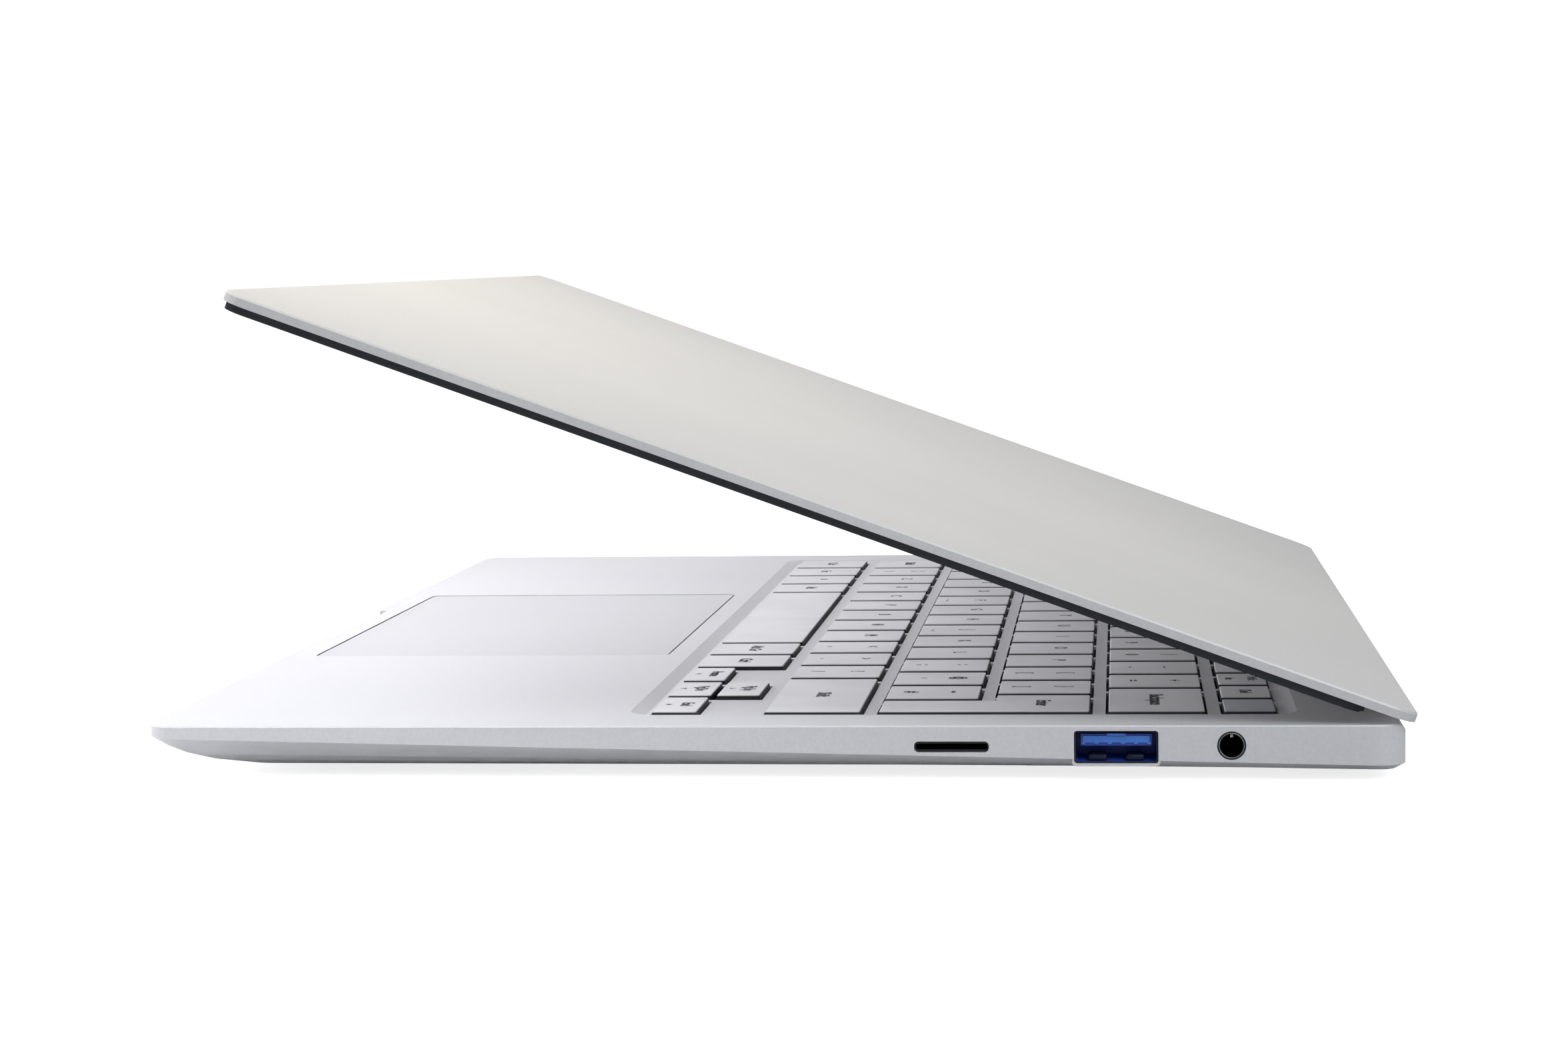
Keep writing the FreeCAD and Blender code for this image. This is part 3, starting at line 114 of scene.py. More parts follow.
# bead-blasted metal: real beads leave marks of about 0.1 mm, drawn coarser here so that they show
def blasted(name, dark, light, grain=0.5, depth=0.01, metal=0.3, rough=(0.38, 0.48)):
    mat, place = startMaterial(name)
    beadShare = 2.2  # how much the beads count beside the slow change over the sheet
    values = {"Scale": perMm(70), "Detail": 1.0}
    cloud = addNode(mat, "ShaderNodeTexNoise", values, {"Vector": place}).outputs["Fac"]
    values = {"Scale": perMm(grain), "Detail": 3.0, "Roughness": 0.6}
    beads = addNode(mat, "ShaderNodeTexNoise", values, {"Vector": place}).outputs["Fac"]
    links = {0: beads, 2: cloud}
    mixed = addNode(mat, "ShaderNodeMath", {1: beadShare}, links, operation="MULTIPLY_ADD").outputs[0]
    colour = twoTone(mat, mixed, dark, light, low=1.0, high=2.2)
    values = {"Strength": 0.3, "Distance": depth * mm}
    bump = addNode(mat, "ShaderNodeBump", values, {"Height": beads}).outputs[0]
    return finishMaterial(mat, colour, beads, rough, bump, {"Metallic": metal})


# metal with hairlines drawn out along one axis
def brushed(name, dark, light, along=(1, 40, 40), rough=(0.28, 0.42), metal=1.0):
    mat, place = startMaterial(name)
    lined = addNode(mat, "ShaderNodeMapping", {"Scale": along}, {"Vector": place}).outputs[0]
    values = {"Scale": perMm(8), "Detail": 5.0}
    hairs = addNode(mat, "ShaderNodeTexNoise", values, {"Vector": lined}).outputs["Fac"]
    colour = twoTone(mat, hairs, dark, light)
    values = {"Strength": 0.2, "Distance": 0.01 * mm}
    bump = addNode(mat, "ShaderNodeBump", values, {"Height": hairs}).outputs[0]
    return finishMaterial(mat, colour, hairs, rough, bump, {"Metallic": metal})


# plastic or rubber with the fine pores of its mould
def moulded(name, dark, light, grain=0.25, depth=0.02, rough=(0.5, 0.62), coat=0.0):
    mat, place = startMaterial(name)
    values = {"Scale": perMm(grain)}
    pores = addNode(mat, "ShaderNodeTexVoronoi", values, {"Vector": place}).outputs["Distance"]
    values = {"Scale": perMm(12), "Detail": 3.0}
    cloud = addNode(mat, "ShaderNodeTexNoise", values, {"Vector": place}).outputs["Fac"]
    colour = twoTone(mat, cloud, dark, light)
    values = {"Strength": 0.25, "Distance": depth * mm}
    bump = addNode(mat, "ShaderNodeBump", values, {"Height": pores}).outputs[0]
    return finishMaterial(mat, colour, cloud, rough, bump, {"Coat Weight": coat, "Coat Roughness": 0.08})


# sprayed paint that ends at a line, with another colour before it; on the keys that colour is painted shade
# for the gaps between them
def lacquered(name, dark, light, gapShadeOrInside, line, axis="Z"):
    mat, place = startMaterial(name)
    paintEdge = 0.02 * mm
    values = {"Scale": perMm(12), "Detail": 3.0}
    cloud = addNode(mat, "ShaderNodeTexNoise", values, {"Vector": place}).outputs["Fac"]
    values = {"Scale": perMm(0.3), "Detail": 2.0}
    grain = addNode(mat, "ShaderNodeTexNoise", values, {"Vector": place}).outputs["Fac"]
    level = addNode(mat, "ShaderNodeSeparateXYZ", None, {0: place}).outputs[axis]
    stretch = {"From Min": line, "From Max": line + paintEdge}
    painted = addNode(mat, "ShaderNodeMapRange", stretch, {"Value": level}).outputs[0]
    links = {"Factor": painted, mixTo: twoTone(mat, cloud, dark, light)}
    # before the line: painted gap shade on the keys, the blue inside on the port shell
    mix = addNode(mat, "ShaderNodeMix", {mixFrom: linear(gapShadeOrInside)}, links, data_type="RGBA")
    values = {"Strength": 0.2, "Distance": 0.006 * mm}
    bump = addNode(mat, "ShaderNodeBump", values, {"Height": grain}).outputs[0]
    return finishMaterial(mat, mix.outputs[mixOut], cloud, (0.42, 0.5), bump)


# polished glass with a faint haze
def glassy(name, dark, light, rough=(0.04, 0.09), coat=0.6):
    mat, place = startMaterial(name)
    values = {"Scale": perMm(25), "Detail": 4.0}
    haze = addNode(mat, "ShaderNodeTexNoise", values, {"Vector": place}).outputs["Fac"]
    colour = twoTone(mat, haze, dark, light)
    return finishMaterial(mat, colour, haze, rough, None, {"Coat Weight": coat, "Coat Roughness": 0.03})


# lacquered board with tracks between its fields and round plated pads
def circuit(name, lacquer=("#10382a", "#164a37"), track="#2c7255", gold="#b9a35a"):
    mat, place = startMaterial(name)
    padSize = 0.16
    values = {"Scale": perMm(14), "Color1": linear(lacquer[0]), "Color2": linear(lacquer[1]),
              "Mortar": linear(track), "Mortar Size": 0.012}
    tracks = addNode(mat, "ShaderNodeTexBrick", values, {"Vector": place}).outputs["Color"]
    pads = addNode(mat, "ShaderNodeTexVoronoi", {"Scale": perMm(2.6)}, {"Vector": place}).outputs["Distance"]
    dots = addNode(mat, "ShaderNodeMath", {1: padSize}, {0: pads}, operation="LESS_THAN").outputs[0]
    links = {"Factor": dots, mixFrom: tracks}
    mix = addNode(mat, "ShaderNodeMix", {mixTo: linear(gold)}, links, data_type="RGBA")
    values = {"Strength": 0.3, "Distance": 0.03 * mm}
    bump = addNode(mat, "ShaderNodeBump", values, {"Height": dots}).outputs[0]
    return finishMaterial(mat, mix.outputs[mixOut], dots, (0.45, 0.25), bump)


# square weave: the middle of each cell is the hole, painted dark as the shade seen through it
def woven(name, thread, holeShade, pitch=0.8):
    mat, place = startMaterial(name)
    values = {"Scale": perMm(pitch), "Randomness": 0.0}
    cell = addNode(mat, "ShaderNodeTexVoronoi", values, {"Vector": place}).outputs["Distance"]
    colour = twoTone(mat, cell, holeShade, thread, low=0.3, high=0.38)
    values = {"Strength": 0.6, "Distance": 0.1 * mm}
    bump = addNode(mat, "ShaderNodeBump", values, {"Height": cell}).outputs[0]
    return finishMaterial(mat, colour, cell, (0.7, 0.5), bump)


keyGapShade, gapShadeLine = "#1b1c1f", 8.8 * mm  # painted shade: keys are dark up to just below the deck, standing in for the shade in the gaps between them
materials = {
    "case_metal": blasted("anodisedDeck", "#c9cacb", "#d3d4d5"),  # pale satin metal with a fine bead grain
    "cover_metal": blasted("anodisedBottomLightened", "#cccdce", "#d6d7d8"),  # same metal, painted a touch paler to light up its shaded side
    "lid_metal": blasted("anodisedLidDarkened", "#c3c3c2", "#cdcdcc", rough=(0.5, 0.6)),  # same metal, painted a little darker for the shade it shows at a low angle; duller, same grain
    "foot_rubber": moulded("footRubber", "#1b1b1d", "#27272a", rough=(0.7, 0.85)),  # dull black grip
    "plate_steel": brushed("plateSteel", "#57585a", "#6c6d70"),  # pressed steel sheet
    "membrane_film": moulded("membraneFilm", "#1c1d1f", "#28292c", rough=(0.4, 0.5)),  # dark film below keys
    "battery_film": moulded("batteryFilm", "#161719", "#202225", rough=(0.35, 0.5)),  # black wrapped cells
    "board": circuit("circuitBoard"),  # green lacquer with gold pads
    "dark_plastic": moulded("darkPlastic", "#0d0e10", "#15161a", rough=(0.45, 0.6)),  # fine matt black
    "copper": brushed("flatCopper", "#9c5b3c", "#b8734f"),  # drawn copper pipe
    "fin_metal": brushed("finMetal", "#a5a6a8", "#bcbdbf"),  # bare thin fins
    "port_steel": brushed("portSteel", "#8f9193", "#b3b5b7", along=(1, 12, 12)),  # plated stamped shell
    "blue_plastic": moulded("bluePlastic", "#1c40a4", "#2449b4", rough=(0.3, 0.42)),  # blue of the port
    "hinge_steel": brushed("hingeSteel", "#3a3b3d", "#4d4e51"),  # dark plated hinge
    "screen_glass": glassy("screenGlass", "#07080a", "#0b0d10"),  # dark smooth screen
    "bezel_plastic": moulded("bezelPlastic", "#0e0f11", "#17181b", rough=(0.4, 0.55)),  # black screen frame
    "gasket_rubber": moulded("gasketRubber", "#101317", "#171b20", rough=(0.55, 0.7)),  # soft charcoal strip
    "pad_glass": blasted("etchedPad", "#b6b7b8", "#bdbebf", grain=0.3, metal=0.15,
                         rough=(0.3, 0.36)),  # silky etched glass
    "key_plastic": lacquered("keyLacquer", "#bfc0c0", "#c8c9c9", keyGapShade, gapShadeLine),  # silver tops, sides painted dark as the shade in the key gaps
    "power_gloss": lacquered("powerKeyLacquer", "#a6a9ac", "#b1b4b7", keyGapShade, gapShadeLine),  # greyer button, its sides painted dark as shade like the keys
}


# every material slot of a CAD node gets the same finish
def coverNode(name, material):
    for index in range(len(nodes[name].data.materials)):
        nodes[name].data.materials[index] = material


for name in nodes:
    coverNode(name, materials[slotOf[name]])
print("materials set")


# editing helpers: one mesh is opened, shapes are added in edit mode, then it is closed and given its body
def openPiece(name):
    bpy.ops.object.select_all(action="DESELECT")
    bpy.ops.mesh.primitive_plane_add(size=1, location=(0, 0, 0))
    made = bpy.context.object
    made.name = name
    bpy.ops.object.mode_set(mode="EDIT")
    bpy.ops.mesh.select_mode(type="VERT")
    bpy.ops.mesh.select_all(action="SELECT")
    bpy.ops.mesh.delete(type="VERT")
    return made


# leaves edit mode with the faces turned outwards, and selects one piece
def only(made):
    if bpy.context.object and bpy.context.object.mode == "EDIT":
        bpy.ops.mesh.select_all(action="SELECT")
        bpy.ops.mesh.normals_make_consistent(inside=False)
        bpy.ops.object.mode_set(mode="OBJECT")
    bpy.ops.object.select_all(action="DESELECT")
    made.select_set(True)
    bpy.context.view_layer.objects.active = made


def soften(made, width, steps=2, fromAngle=50):
    only(made)
    bpy.ops.object.modifier_add(type="BEVEL")
    bevel = made.modifiers[0]
    bevel.width, bevel.segments, bevel.angle_limit = width, steps, math.radians(fromAngle)
    bpy.ops.object.modifier_apply(modifier=bevel.name)


def closePiece(made, material, body, turn=None, angle=40):
    only(made)
    if turn:
        made.matrix_world = turn @ made.matrix_world
    bpy.ops.object.transform_apply(location=True, rotation=True, scale=True)
    bpy.ops.object.shade_smooth_by_angle(angle=math.radians(angle))
    bpy.ops.object.modifier_add(type="WEIGHTED_NORMAL")  # keeps flat faces flat beside their soft edges
    made.modifiers[0].keep_sharp = True
    bpy.ops.object.modifier_apply(modifier=made.modifiers[0].name)
    made.data.materials.clear()
    made.data.materials.append(material)
    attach(made, body)


def addBlock(low, high, soft, steps=2):
    low, high = Vector(low), Vector(high)
    bpy.ops.mesh.primitive_cube_add(size=1, location=(low + high) / 2)
    bpy.ops.transform.resize(value=high - low)
    bpy.ops.mesh.bevel(offset=soft, segments=steps, affect="EDGES")


def addSheet(low, high, level):
    bpy.ops.mesh.primitive_plane_add(size=1, location=((low.x + high.x) / 2, (low.y + high.y) / 2, level))
    bpy.ops.transform.resize(value=(high.x - low.x, high.y - low.y, 1))


def addDisc(middle, radius, height, sides=32):
    bpy.ops.mesh.primitive_cylinder_add(vertices=sides, radius=radius, depth=height, location=middle)


# the shape just made stands at the first spot and is copied to the others, each copy from the one before
def copyTo(spots):
    bpy.ops.mesh.select_linked()
    for before, after in zip(spots, spots[1:]):
        bpy.ops.mesh.duplicate_move(TRANSFORM_OT_translate={"value": after - before})


# boxes of the loose solids in one node, from left to right
def islands(name):
    mesh = nodes[name].data
    spots, links = {}, []

    def root(i):
        while links[i] != i:
            i = links[i]
        return i

    for face in mesh.polygons:
        ring = []
        for index in face.vertices:
            spot = tuple(round(c, 6) for c in mesh.vertices[index].co)  # to a micrometre
            if spot not in spots:
                spots[spot] = len(links)
                links.append(len(links))
            ring.append(root(spots[spot]))
        for other in ring[1:]:
            links[root(other)] = root(ring[0])
    groups = {}
    for spot, index in spots.items():
        groups.setdefault(root(index), []).append(spot)
    boxes = [(Vector(map(min, zip(*group))), Vector(map(max, zip(*group)))) for group in groups.values()]
    return sorted(boxes, key=lambda box: box[0].x)


# key caps with round corners, soft top edges and printed legends
capValues = {"corner": 0.55 * mm, "cornerSteps": 4, "taper": 0.2 * mm, "edge": 0.16 * mm, "edgeSteps": 3,
             "match": 0.01 * mm, "near": 0.05 * mm}
barValues = {"row": "home_letter_keys", "keys": (3, 6), "from": 2.2 * mm, "half": 1.9 * mm, "deep": 0.5 * mm,
             "high": 0.2 * mm, "edge": 0.12 * mm}
# bold and step are shares of a letter's size, and front to arrowWord are shares of a cap's depth
legendValues = {"letter": 3.4 * mm, "word": 3.2 * mm, "tiny": 2.8 * mm, "tinyPair": 2.24 * mm,
                "arrow": 0.8 * mm, "shallow": 10 * mm, "lift": 0.012 * mm, "weld": 0.0005 * mm,
                "bold": 0.0265, "step": 0.004, "light": {"*": 0.5}, "curveSteps": 3,
                "front": 0.26, "middle": 0.6, "back": 0.71, "centre": 0.5, "arrowAt": 0.24, "arrowWord": 0.64}
legendInk = moulded("legendInk", "#17181a", "#222426", grain=0.1, depth=0.002)  # dark grey print
keyRows = {
    "function_keys": ["Esc"] + ["F%d" % n for n in range(1, 13)] + ["Ins|PrtSc", "Del"],
    "number_keys": ["`|~", "1|!", "2|\"", "3|£", "4|$", "5|%", "6|^", "7|&", "8|*", "9|(", "0|)",
                    "-|_", "=|+"],
    "upper_letter_keys": list("QWERTYUIOP") + ["[|{", "]|}"],
    "home_letter_keys": list("ASDFGHJKL") + [";|:", "'|@", "#|~"],
    "lower_letter_keys": ["\\|¦"] + list("ZXCVBNM") + [",|<", ".|>", "/|?"],
    "left_modifier_keys": ["Ctrl", "Fn", "o", "Alt"],
    "right_modifier_keys": ["Alt Gr", "Ctrl"],
    "backspace_key": ["Backspace"], "tab_key": ["Tab"], "caps_lock_key": ["Caps Lock"],
    "left_shift_key": ["Shift"], "right_shift_key": ["Shift"], "enter_key": ["Enter"], "space_key": [""],
    "left_arrow_key": ["Home"], "up_arrow_key": ["PgUp"], "down_arrow_key": ["PgDn"],
    "right_arrow_key": ["End"], "power_key": [""],
}
arrowTurns = {"right_arrow_key": -90, "up_arrow_key": 0, "left_arrow_key": 90, "down_arrow_key": 180}


def raiseCap(height):
    bpy.ops.mesh.bevel(offset=capValues["corner"], segments=capValues["cornerSteps"], affect="VERTICES")
    bpy.ops.mesh.inset(thickness=capValues["taper"], depth=height)
    bpy.ops.mesh.bevel(offset=capValues["edge"], segments=capValues["edgeSteps"], affect="EDGES")


def addCaps(boxes):
    sizes = {}
    for low, high in boxes:  # caps of one size are made once
        size = tuple(round(side / capValues["match"]) for side in high - low)
        sizes.setdefault(size, []).append((low, high))
    for alike in sizes.values():
        low, high = alike[0]
        addSheet(low, high, low.z)
        raiseCap(high.z - low.z)
        copyTo([low for low, high in alike])


def addReturnCap(made, low, high):
    flat = [v.co for v in nodes["enter_key"].data.vertices if v.co.z < low.z + capValues["near"]]
    stepX = max(v.x for v in flat if v.x < (low.x + high.x) / 2)
    stepY = min(v.y for v in flat if v.x < low.x + capValues["near"])
    ring = [(stepX, low.y), (high.x, low.y), (high.x, high.y),
            (low.x, high.y), (low.x, stepY), (stepX, stepY)]
    bpy.ops.object.mode_set(mode="OBJECT")
    made.data.from_pydata([(x, y, low.z) for x, y in ring], [], [range(len(ring))])
    bpy.ops.object.mode_set(mode="EDIT")
    bpy.ops.mesh.select_all(action="SELECT")
    raiseCap(high.z - low.z)
    return Vector((low.x, stepY, low.z)), high  # rear part, where the legend goes


def addBars(boxes):
    low, high = boxes[0]
    middle, front = (low.x + high.x) / 2, low.y + barValues["from"]
    addBlock((middle - barValues["half"], front, high.z - barValues["high"]),
             (middle + barValues["half"], front + barValues["deep"], high.z + barValues["high"]),
             barValues["edge"])
    copyTo([low for low, high in boxes])


def printed(words, where, size):
    bpy.ops.object.select_all(action="DESELECT")
    bpy.ops.object.text_add(location=where)
    made = bpy.context.object
    made.data.body = words
    made.data.size = size
    made.data.align_x, made.data.align_y = "CENTER", "CENTER"
    made.data.resolution_u = legendValues["curveSteps"]
    bpy.ops.object.convert(target="CURVE")
    made = bpy.context.object
    bpy.ops.object.mode_set(mode="EDIT")
    bpy.ops.curve.select_all(action="DESELECT")
    steps = 0
    for spline in made.data.splines:  # tiny steps in an outline would cross once the stroke is made bold
        points = spline.bezier_points
        for point, following in zip(points, points[1:]):
            if (point.co - following.co).length < legendValues["step"] * size:
                point.select_control_point = True
                steps += 1
    if steps:
        bpy.ops.curve.delete(type="VERT")
    bpy.ops.object.mode_set(mode="OBJECT")
    made.data.offset = legendValues["bold"] * size * legendValues["light"].get(words, 1.0)
    made.data.extrude = legendValues["lift"]
    bpy.ops.object.convert(target="MESH")
    return bpy.context.object


def arrowHead(where, turn):
    bpy.ops.object.select_all(action="DESELECT")
    bpy.ops.mesh.primitive_circle_add(vertices=3, radius=legendValues["arrow"], fill_type="NGON",
                                      location=where, rotation=(0, 0, math.radians(turn)))
    made = bpy.context.object
    bpy.ops.object.mode_set(mode="EDIT")
    bpy.ops.mesh.select_all(action="SELECT")
    bpy.ops.mesh.extrude_region_move(TRANSFORM_OT_translate={"value": (0, 0, -legendValues["lift"])})
    bpy.ops.object.mode_set(mode="OBJECT")
    return made


def legendsOn(name, words, low, high):
    level = high.z + legendValues["lift"]
    middle, deep = (low.x + high.x) / 2, high.y - low.y
    small = deep < legendValues["shallow"]

    def at(share):
        return (middle, low.y + deep * legendValues[share], level)

    if name in arrowTurns:
        head = arrowHead(at("arrowAt"), arrowTurns[name])
        return [head, printed(words, at("arrowWord"), legendValues["tiny"])]
    if "|" in words:
        size = legendValues["tinyPair" if small else "letter"]
        front, back = words.split("|")
        return [printed(front, at("front"), size), printed(back, at("back"), size)]
    if len(words) == 1:
        return [printed(words, at("middle"), legendValues["letter"])]
    return [printed(words, at("centre"), legendValues["tiny" if small else "word"])] if words else []


for name, words in keyRows.items():
    body, slot = name + "_body", slotOf[name]
    boxes = islands(name)
    made = openPiece(name + ".caps")
    if name == "enter_key":
        boxes = [addReturnCap(made, *boxes[0])]
    else:
        addCaps(boxes)
    bpy.ops.mesh.select_all(action="SELECT")
    bpy.ops.mesh.fill_holes(sides=0)  # closes the caps underneath
    if name == barValues["row"]:
        addBars([boxes[index] for index in barValues["keys"]])  # raised bars on two finger keys
    closePiece(made, materials[slot], body)
    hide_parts(name)
    marks = []
    for word, (low, high) in zip(words, boxes):
        marks += legendsOn(name, word, low, high)
    if marks:
        only(marks[0])
        for mark in marks:
            mark.select_set(True)
        if len(marks) > 1:
            bpy.ops.object.join()
        marks[0].name = name + ".legends"
        bpy.ops.object.mode_set(mode="EDIT")
        bpy.ops.mesh.select_all(action="SELECT")
        bpy.ops.mesh.remove_doubles(threshold=legendValues["weld"])  # joins letter fronts to their sides
        closePiece(marks[0], legendInk, body)
print("keys made")

# blue-tongued port: face of the tongue, its contacts and the two springs in the floor
portLow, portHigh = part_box("usb_a_shell")
portMiddle = (portLow + portHigh) / 2
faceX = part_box("usb_a_tongue")[1].x
usbValues = {"half": 5.2 * mm, "low": 0.54 * mm, "high": 1.63 * mm, "stem": 1.45 * mm, "stemHigh": 1.98 * mm,
             "stemLap": 0.2 * mm, "proud": 0.25 * mm, "sunk": 0.3 * mm, "edge": 0.06 * mm, "rim": 0.2 * mm}
bumpValues = {"count": 6, "pitch": 2.05 * mm, "half": 0.34 * mm, "drop": 0.22 * mm, "lap": 0.1 * mm,
              "edge": 0.08 * mm}
springValues = {"sides": ((-4.4, -1.4), (1.5, 4.35)), "deep": 4.5 * mm, "back": 0.5 * mm, "high": 1.05 * mm,
                "wall": 0.27 * mm, "lap": 0.1 * mm, "edge": 0.45 * mm, "steps": 3}
rimX = portHigh.x - usbValues["rim"]
navyShell = lacquered("navyShell", "#05070f", "#090d1c", "#2444ac", rimX, "X")  # dark rim, blue inside
tongueBlue = moulded("tongueBlue", "#2f74cf", "#3c86df", rough=(0.25, 0.35), coat=0.3)  # bright moulded face
shadedSpringSteel = brushed("shadedSpringSteel", "#0c1226", "#141b34", rough=(0.4, 0.5), metal=0.5)  # springs painted dark navy as the shade inside the port
coverNode("usb_a_shell", navyShell)
made = openPiece("usb_a_tongue.face")
for half, low, high in ((usbValues["half"], usbValues["low"], usbValues["high"]),
                        (usbValues["stem"], usbValues["high"] - usbValues["stemLap"], usbValues["stemHigh"])):
    addBlock((faceX - usbValues["sunk"], portMiddle.y - half, portMiddle.z + low),
             (faceX + usbValues["proud"], portMiddle.y + half, portMiddle.z + high), usbValues["edge"])
firstY = portMiddle.y - bumpValues["pitch"] * (bumpValues["count"] - 1) / 2
bumpZ = portMiddle.z + usbValues["low"]
addBlock((faceX - usbValues["sunk"], firstY - bumpValues["half"], bumpZ - bumpValues["drop"]),
         (faceX + usbValues["proud"], firstY + bumpValues["half"], bumpZ + bumpValues["lap"]),
         bumpValues["edge"])
copyTo([Vector((0, index * bumpValues["pitch"], 0)) for index in range(bumpValues["count"])])
closePiece(made, tongueBlue, "base")
made = openPiece("usb_a_shell.springs")
floorZ = portLow.z + springValues["wall"]
for start, end in springValues["sides"]:
    addBlock((portHigh.x - springValues["deep"], portMiddle.y + start * mm, floorZ - springValues["lap"]),
             (portHigh.x - springValues["back"], portMiddle.y + end * mm, floorZ + springValues["high"]),
             springValues["edge"], springValues["steps"])
closePiece(made, shadedSpringSteel, "base")

# audio jack: grey inner ring and the contact at the top of the bore
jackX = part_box("audio_jack")[1].x
jackMount = [mount for mount in record["mounts"] if mount["name"] == "headphone_jack"][0]
jackMiddle = Vector(jackMount["pos_m"])
boreTop = jackMiddle.z + jackMount["dims"]["r_mm"] * mm
jackValues = {"radius": 1.94 * mm, "tube": 0.045 * mm, "flat": 0.6, "around": 48, "across": 10}
leafValues = {"deep": 1.2 * mm, "back": 0.3 * mm, "half": 0.22 * mm, "high": 0.55 * mm, "lap": 0.1 * mm,
              "edge": 0.06 * mm}
jackBlack = moulded("jackBlack", "#060607", "#0a0a0c", rough=(0.25, 0.35))  # polished black liner
coverNode("audio_jack", jackBlack)
made = openPiece("audio_jack.ring")
bpy.ops.mesh.primitive_torus_add(major_radius=jackValues["radius"], minor_radius=jackValues["tube"],
                                 major_segments=jackValues["around"], minor_segments=jackValues["across"],
                                 location=(jackX, jackMiddle.y, jackMiddle.z), rotation=(0, math.pi / 2, 0))
bpy.ops.transform.resize(value=(jackValues["flat"], 1, 1))
addBlock((jackX - leafValues["deep"], jackMiddle.y - leafValues["half"], boreTop - leafValues["high"]),
         (jackX - leafValues["back"], jackMiddle.y + leafValues["half"], boreTop + leafValues["lap"]),
         leafValues["edge"])
closePiece(made, materials["port_steel"], "base")

# gold contacts on both faces of the tongues in the left ports
contactValues = {"count": 10, "hdmi_tongue": (1.0 * mm, 0.3 * mm), "usb_c_tongues": (0.5 * mm, 0.14 * mm),
                 "from": 0.4 * mm, "reach": 5.0 * mm, "proud": 0.03 * mm, "edge": 0.02 * mm,
                 "near": 0.05 * mm}
goldPlate = brushed("goldPlate", "#a8843c", "#c9a659", along=(12, 1, 1))  # thin plated strips
for name in ("hdmi_tongue", "usb_c_tongues"):
    pitch, half = contactValues[name]
    made = openPiece(name + ".contacts")
    for low, high in islands(name):
        blade = [v.co.z for v in nodes[name].data.vertices
                 if v.co.x < low.x + contactValues["near"] and low.y < v.co.y < high.y]
        firstY = (low.y + high.y) / 2 - pitch * (contactValues["count"] - 1) / 2
        for level in (min(blade), max(blade)):
            addBlock((low.x + contactValues["from"], firstY - half, level - contactValues["proud"]),
                     (low.x + contactValues["reach"], firstY + half, level + contactValues["proud"]),
                     contactValues["edge"], 1)
            copyTo([Vector((0, index * pitch, 0)) for index in range(contactValues["count"])])
    closePiece(made, goldPlate, "base")
print("ports made")

# dark ring put in the gap round the touchpad: painted shade for the dark line of the gap
padLow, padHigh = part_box("touchpad_glass")
gapShadeValues = {"gap": 0.34 * mm, "wide": 0.3 * mm, "corner": 2.0 * mm, "cornerSteps": 8, "top": 0.05 * mm,
             "deep": 0.6 * mm}
gapShadeMargin = Vector((gapShadeValues["gap"], gapShadeValues["gap"], 0))
made = openPiece("touchpad_frame.gapShade")
addSheet(padLow - gapShadeMargin, padHigh + gapShadeMargin, padHigh.z - gapShadeValues["top"])
bpy.ops.mesh.bevel(offset=gapShadeValues["corner"], segments=gapShadeValues["cornerSteps"], affect="VERTICES")
bpy.ops.mesh.inset(thickness=gapShadeValues["wide"])
bpy.ops.mesh.delete(type="FACE")
bpy.ops.mesh.select_all(action="SELECT")
bpy.ops.mesh.extrude_region_move(TRANSFORM_OT_translate={"value": (0, 0, -gapShadeValues["deep"])})
closePiece(made, materials["dark_plastic"], "base")
print("touchpad gap shade made")

# rubber feet with round ends and soft edges
footValues = {"gap": 0.02 * mm, "steps": 10, "edge": 0.3 * mm}
for name in ("front_feet", "rear_feet"):
    made = openPiece(name + ".pads")
    pads = islands(name)
    low, high = pads[0]
    addSheet(low, high, high.z)
    endRadius = (high.y - low.y) / 2 - footValues["gap"]
    bpy.ops.mesh.bevel(offset=endRadius, segments=footValues["steps"], affect="VERTICES")
    bpy.ops.mesh.extrude_region_move(TRANSFORM_OT_translate={"value": (0, 0, low.z - high.z)})
    copyTo([low for low, high in pads])
    soften(made, footValues["edge"])
    closePiece(made, materials[slotOf[name]], "base")
    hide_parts(name)

# bottom cover: star-headed screws, made once and copied
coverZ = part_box("bottom_cover")[0].z
screwValues = {"x": (-118, 0, 118), "y": (-78, -22, 64), "radius": 2.2 * mm, "high": 0.7 * mm,
               "proud": 0.12 * mm, "edge": 0.12 * mm, "star": 1.25 * mm, "starDeep": 0.45 * mm}
screwSteel = brushed("screwSteel", "#5d5e61", "#77787b")  # turned dark steel heads
screwSpots = [Vector((x * mm, y * mm, coverZ - screwValues["proud"]))
              for x in screwValues["x"] for y in screwValues["y"]]
star = openPiece("screwStar")
for turn in (0, math.pi / 3):  # two crossed triangles
    bpy.ops.mesh.primitive_cylinder_add(vertices=3, radius=screwValues["star"],
                                        depth=2 * screwValues["starDeep"], location=screwSpots[0],
                                        rotation=(0, 0, turn))
bpy.ops.object.mode_set(mode="OBJECT")
made = openPiece("bottom_cover.screws")
addDisc(screwSpots[0] + Vector((0, 0, screwValues["high"] / 2)), screwValues["radius"], screwValues["high"])
soften(made, screwValues["edge"])
bpy.ops.object.modifier_add(type="BOOLEAN")
made.modifiers[0].object = star
made.modifiers[0].operation = "DIFFERENCE"
made.modifiers[0].use_self = True
bpy.ops.object.modifier_apply(modifier=made.modifiers[0].name)
bpy.data.objects.remove(star)
bpy.ops.object.mode_set(mode="EDIT")
bpy.ops.mesh.select_all(action="SELECT")
copyTo(screwSpots)
closePiece(made, screwSteel, "base")

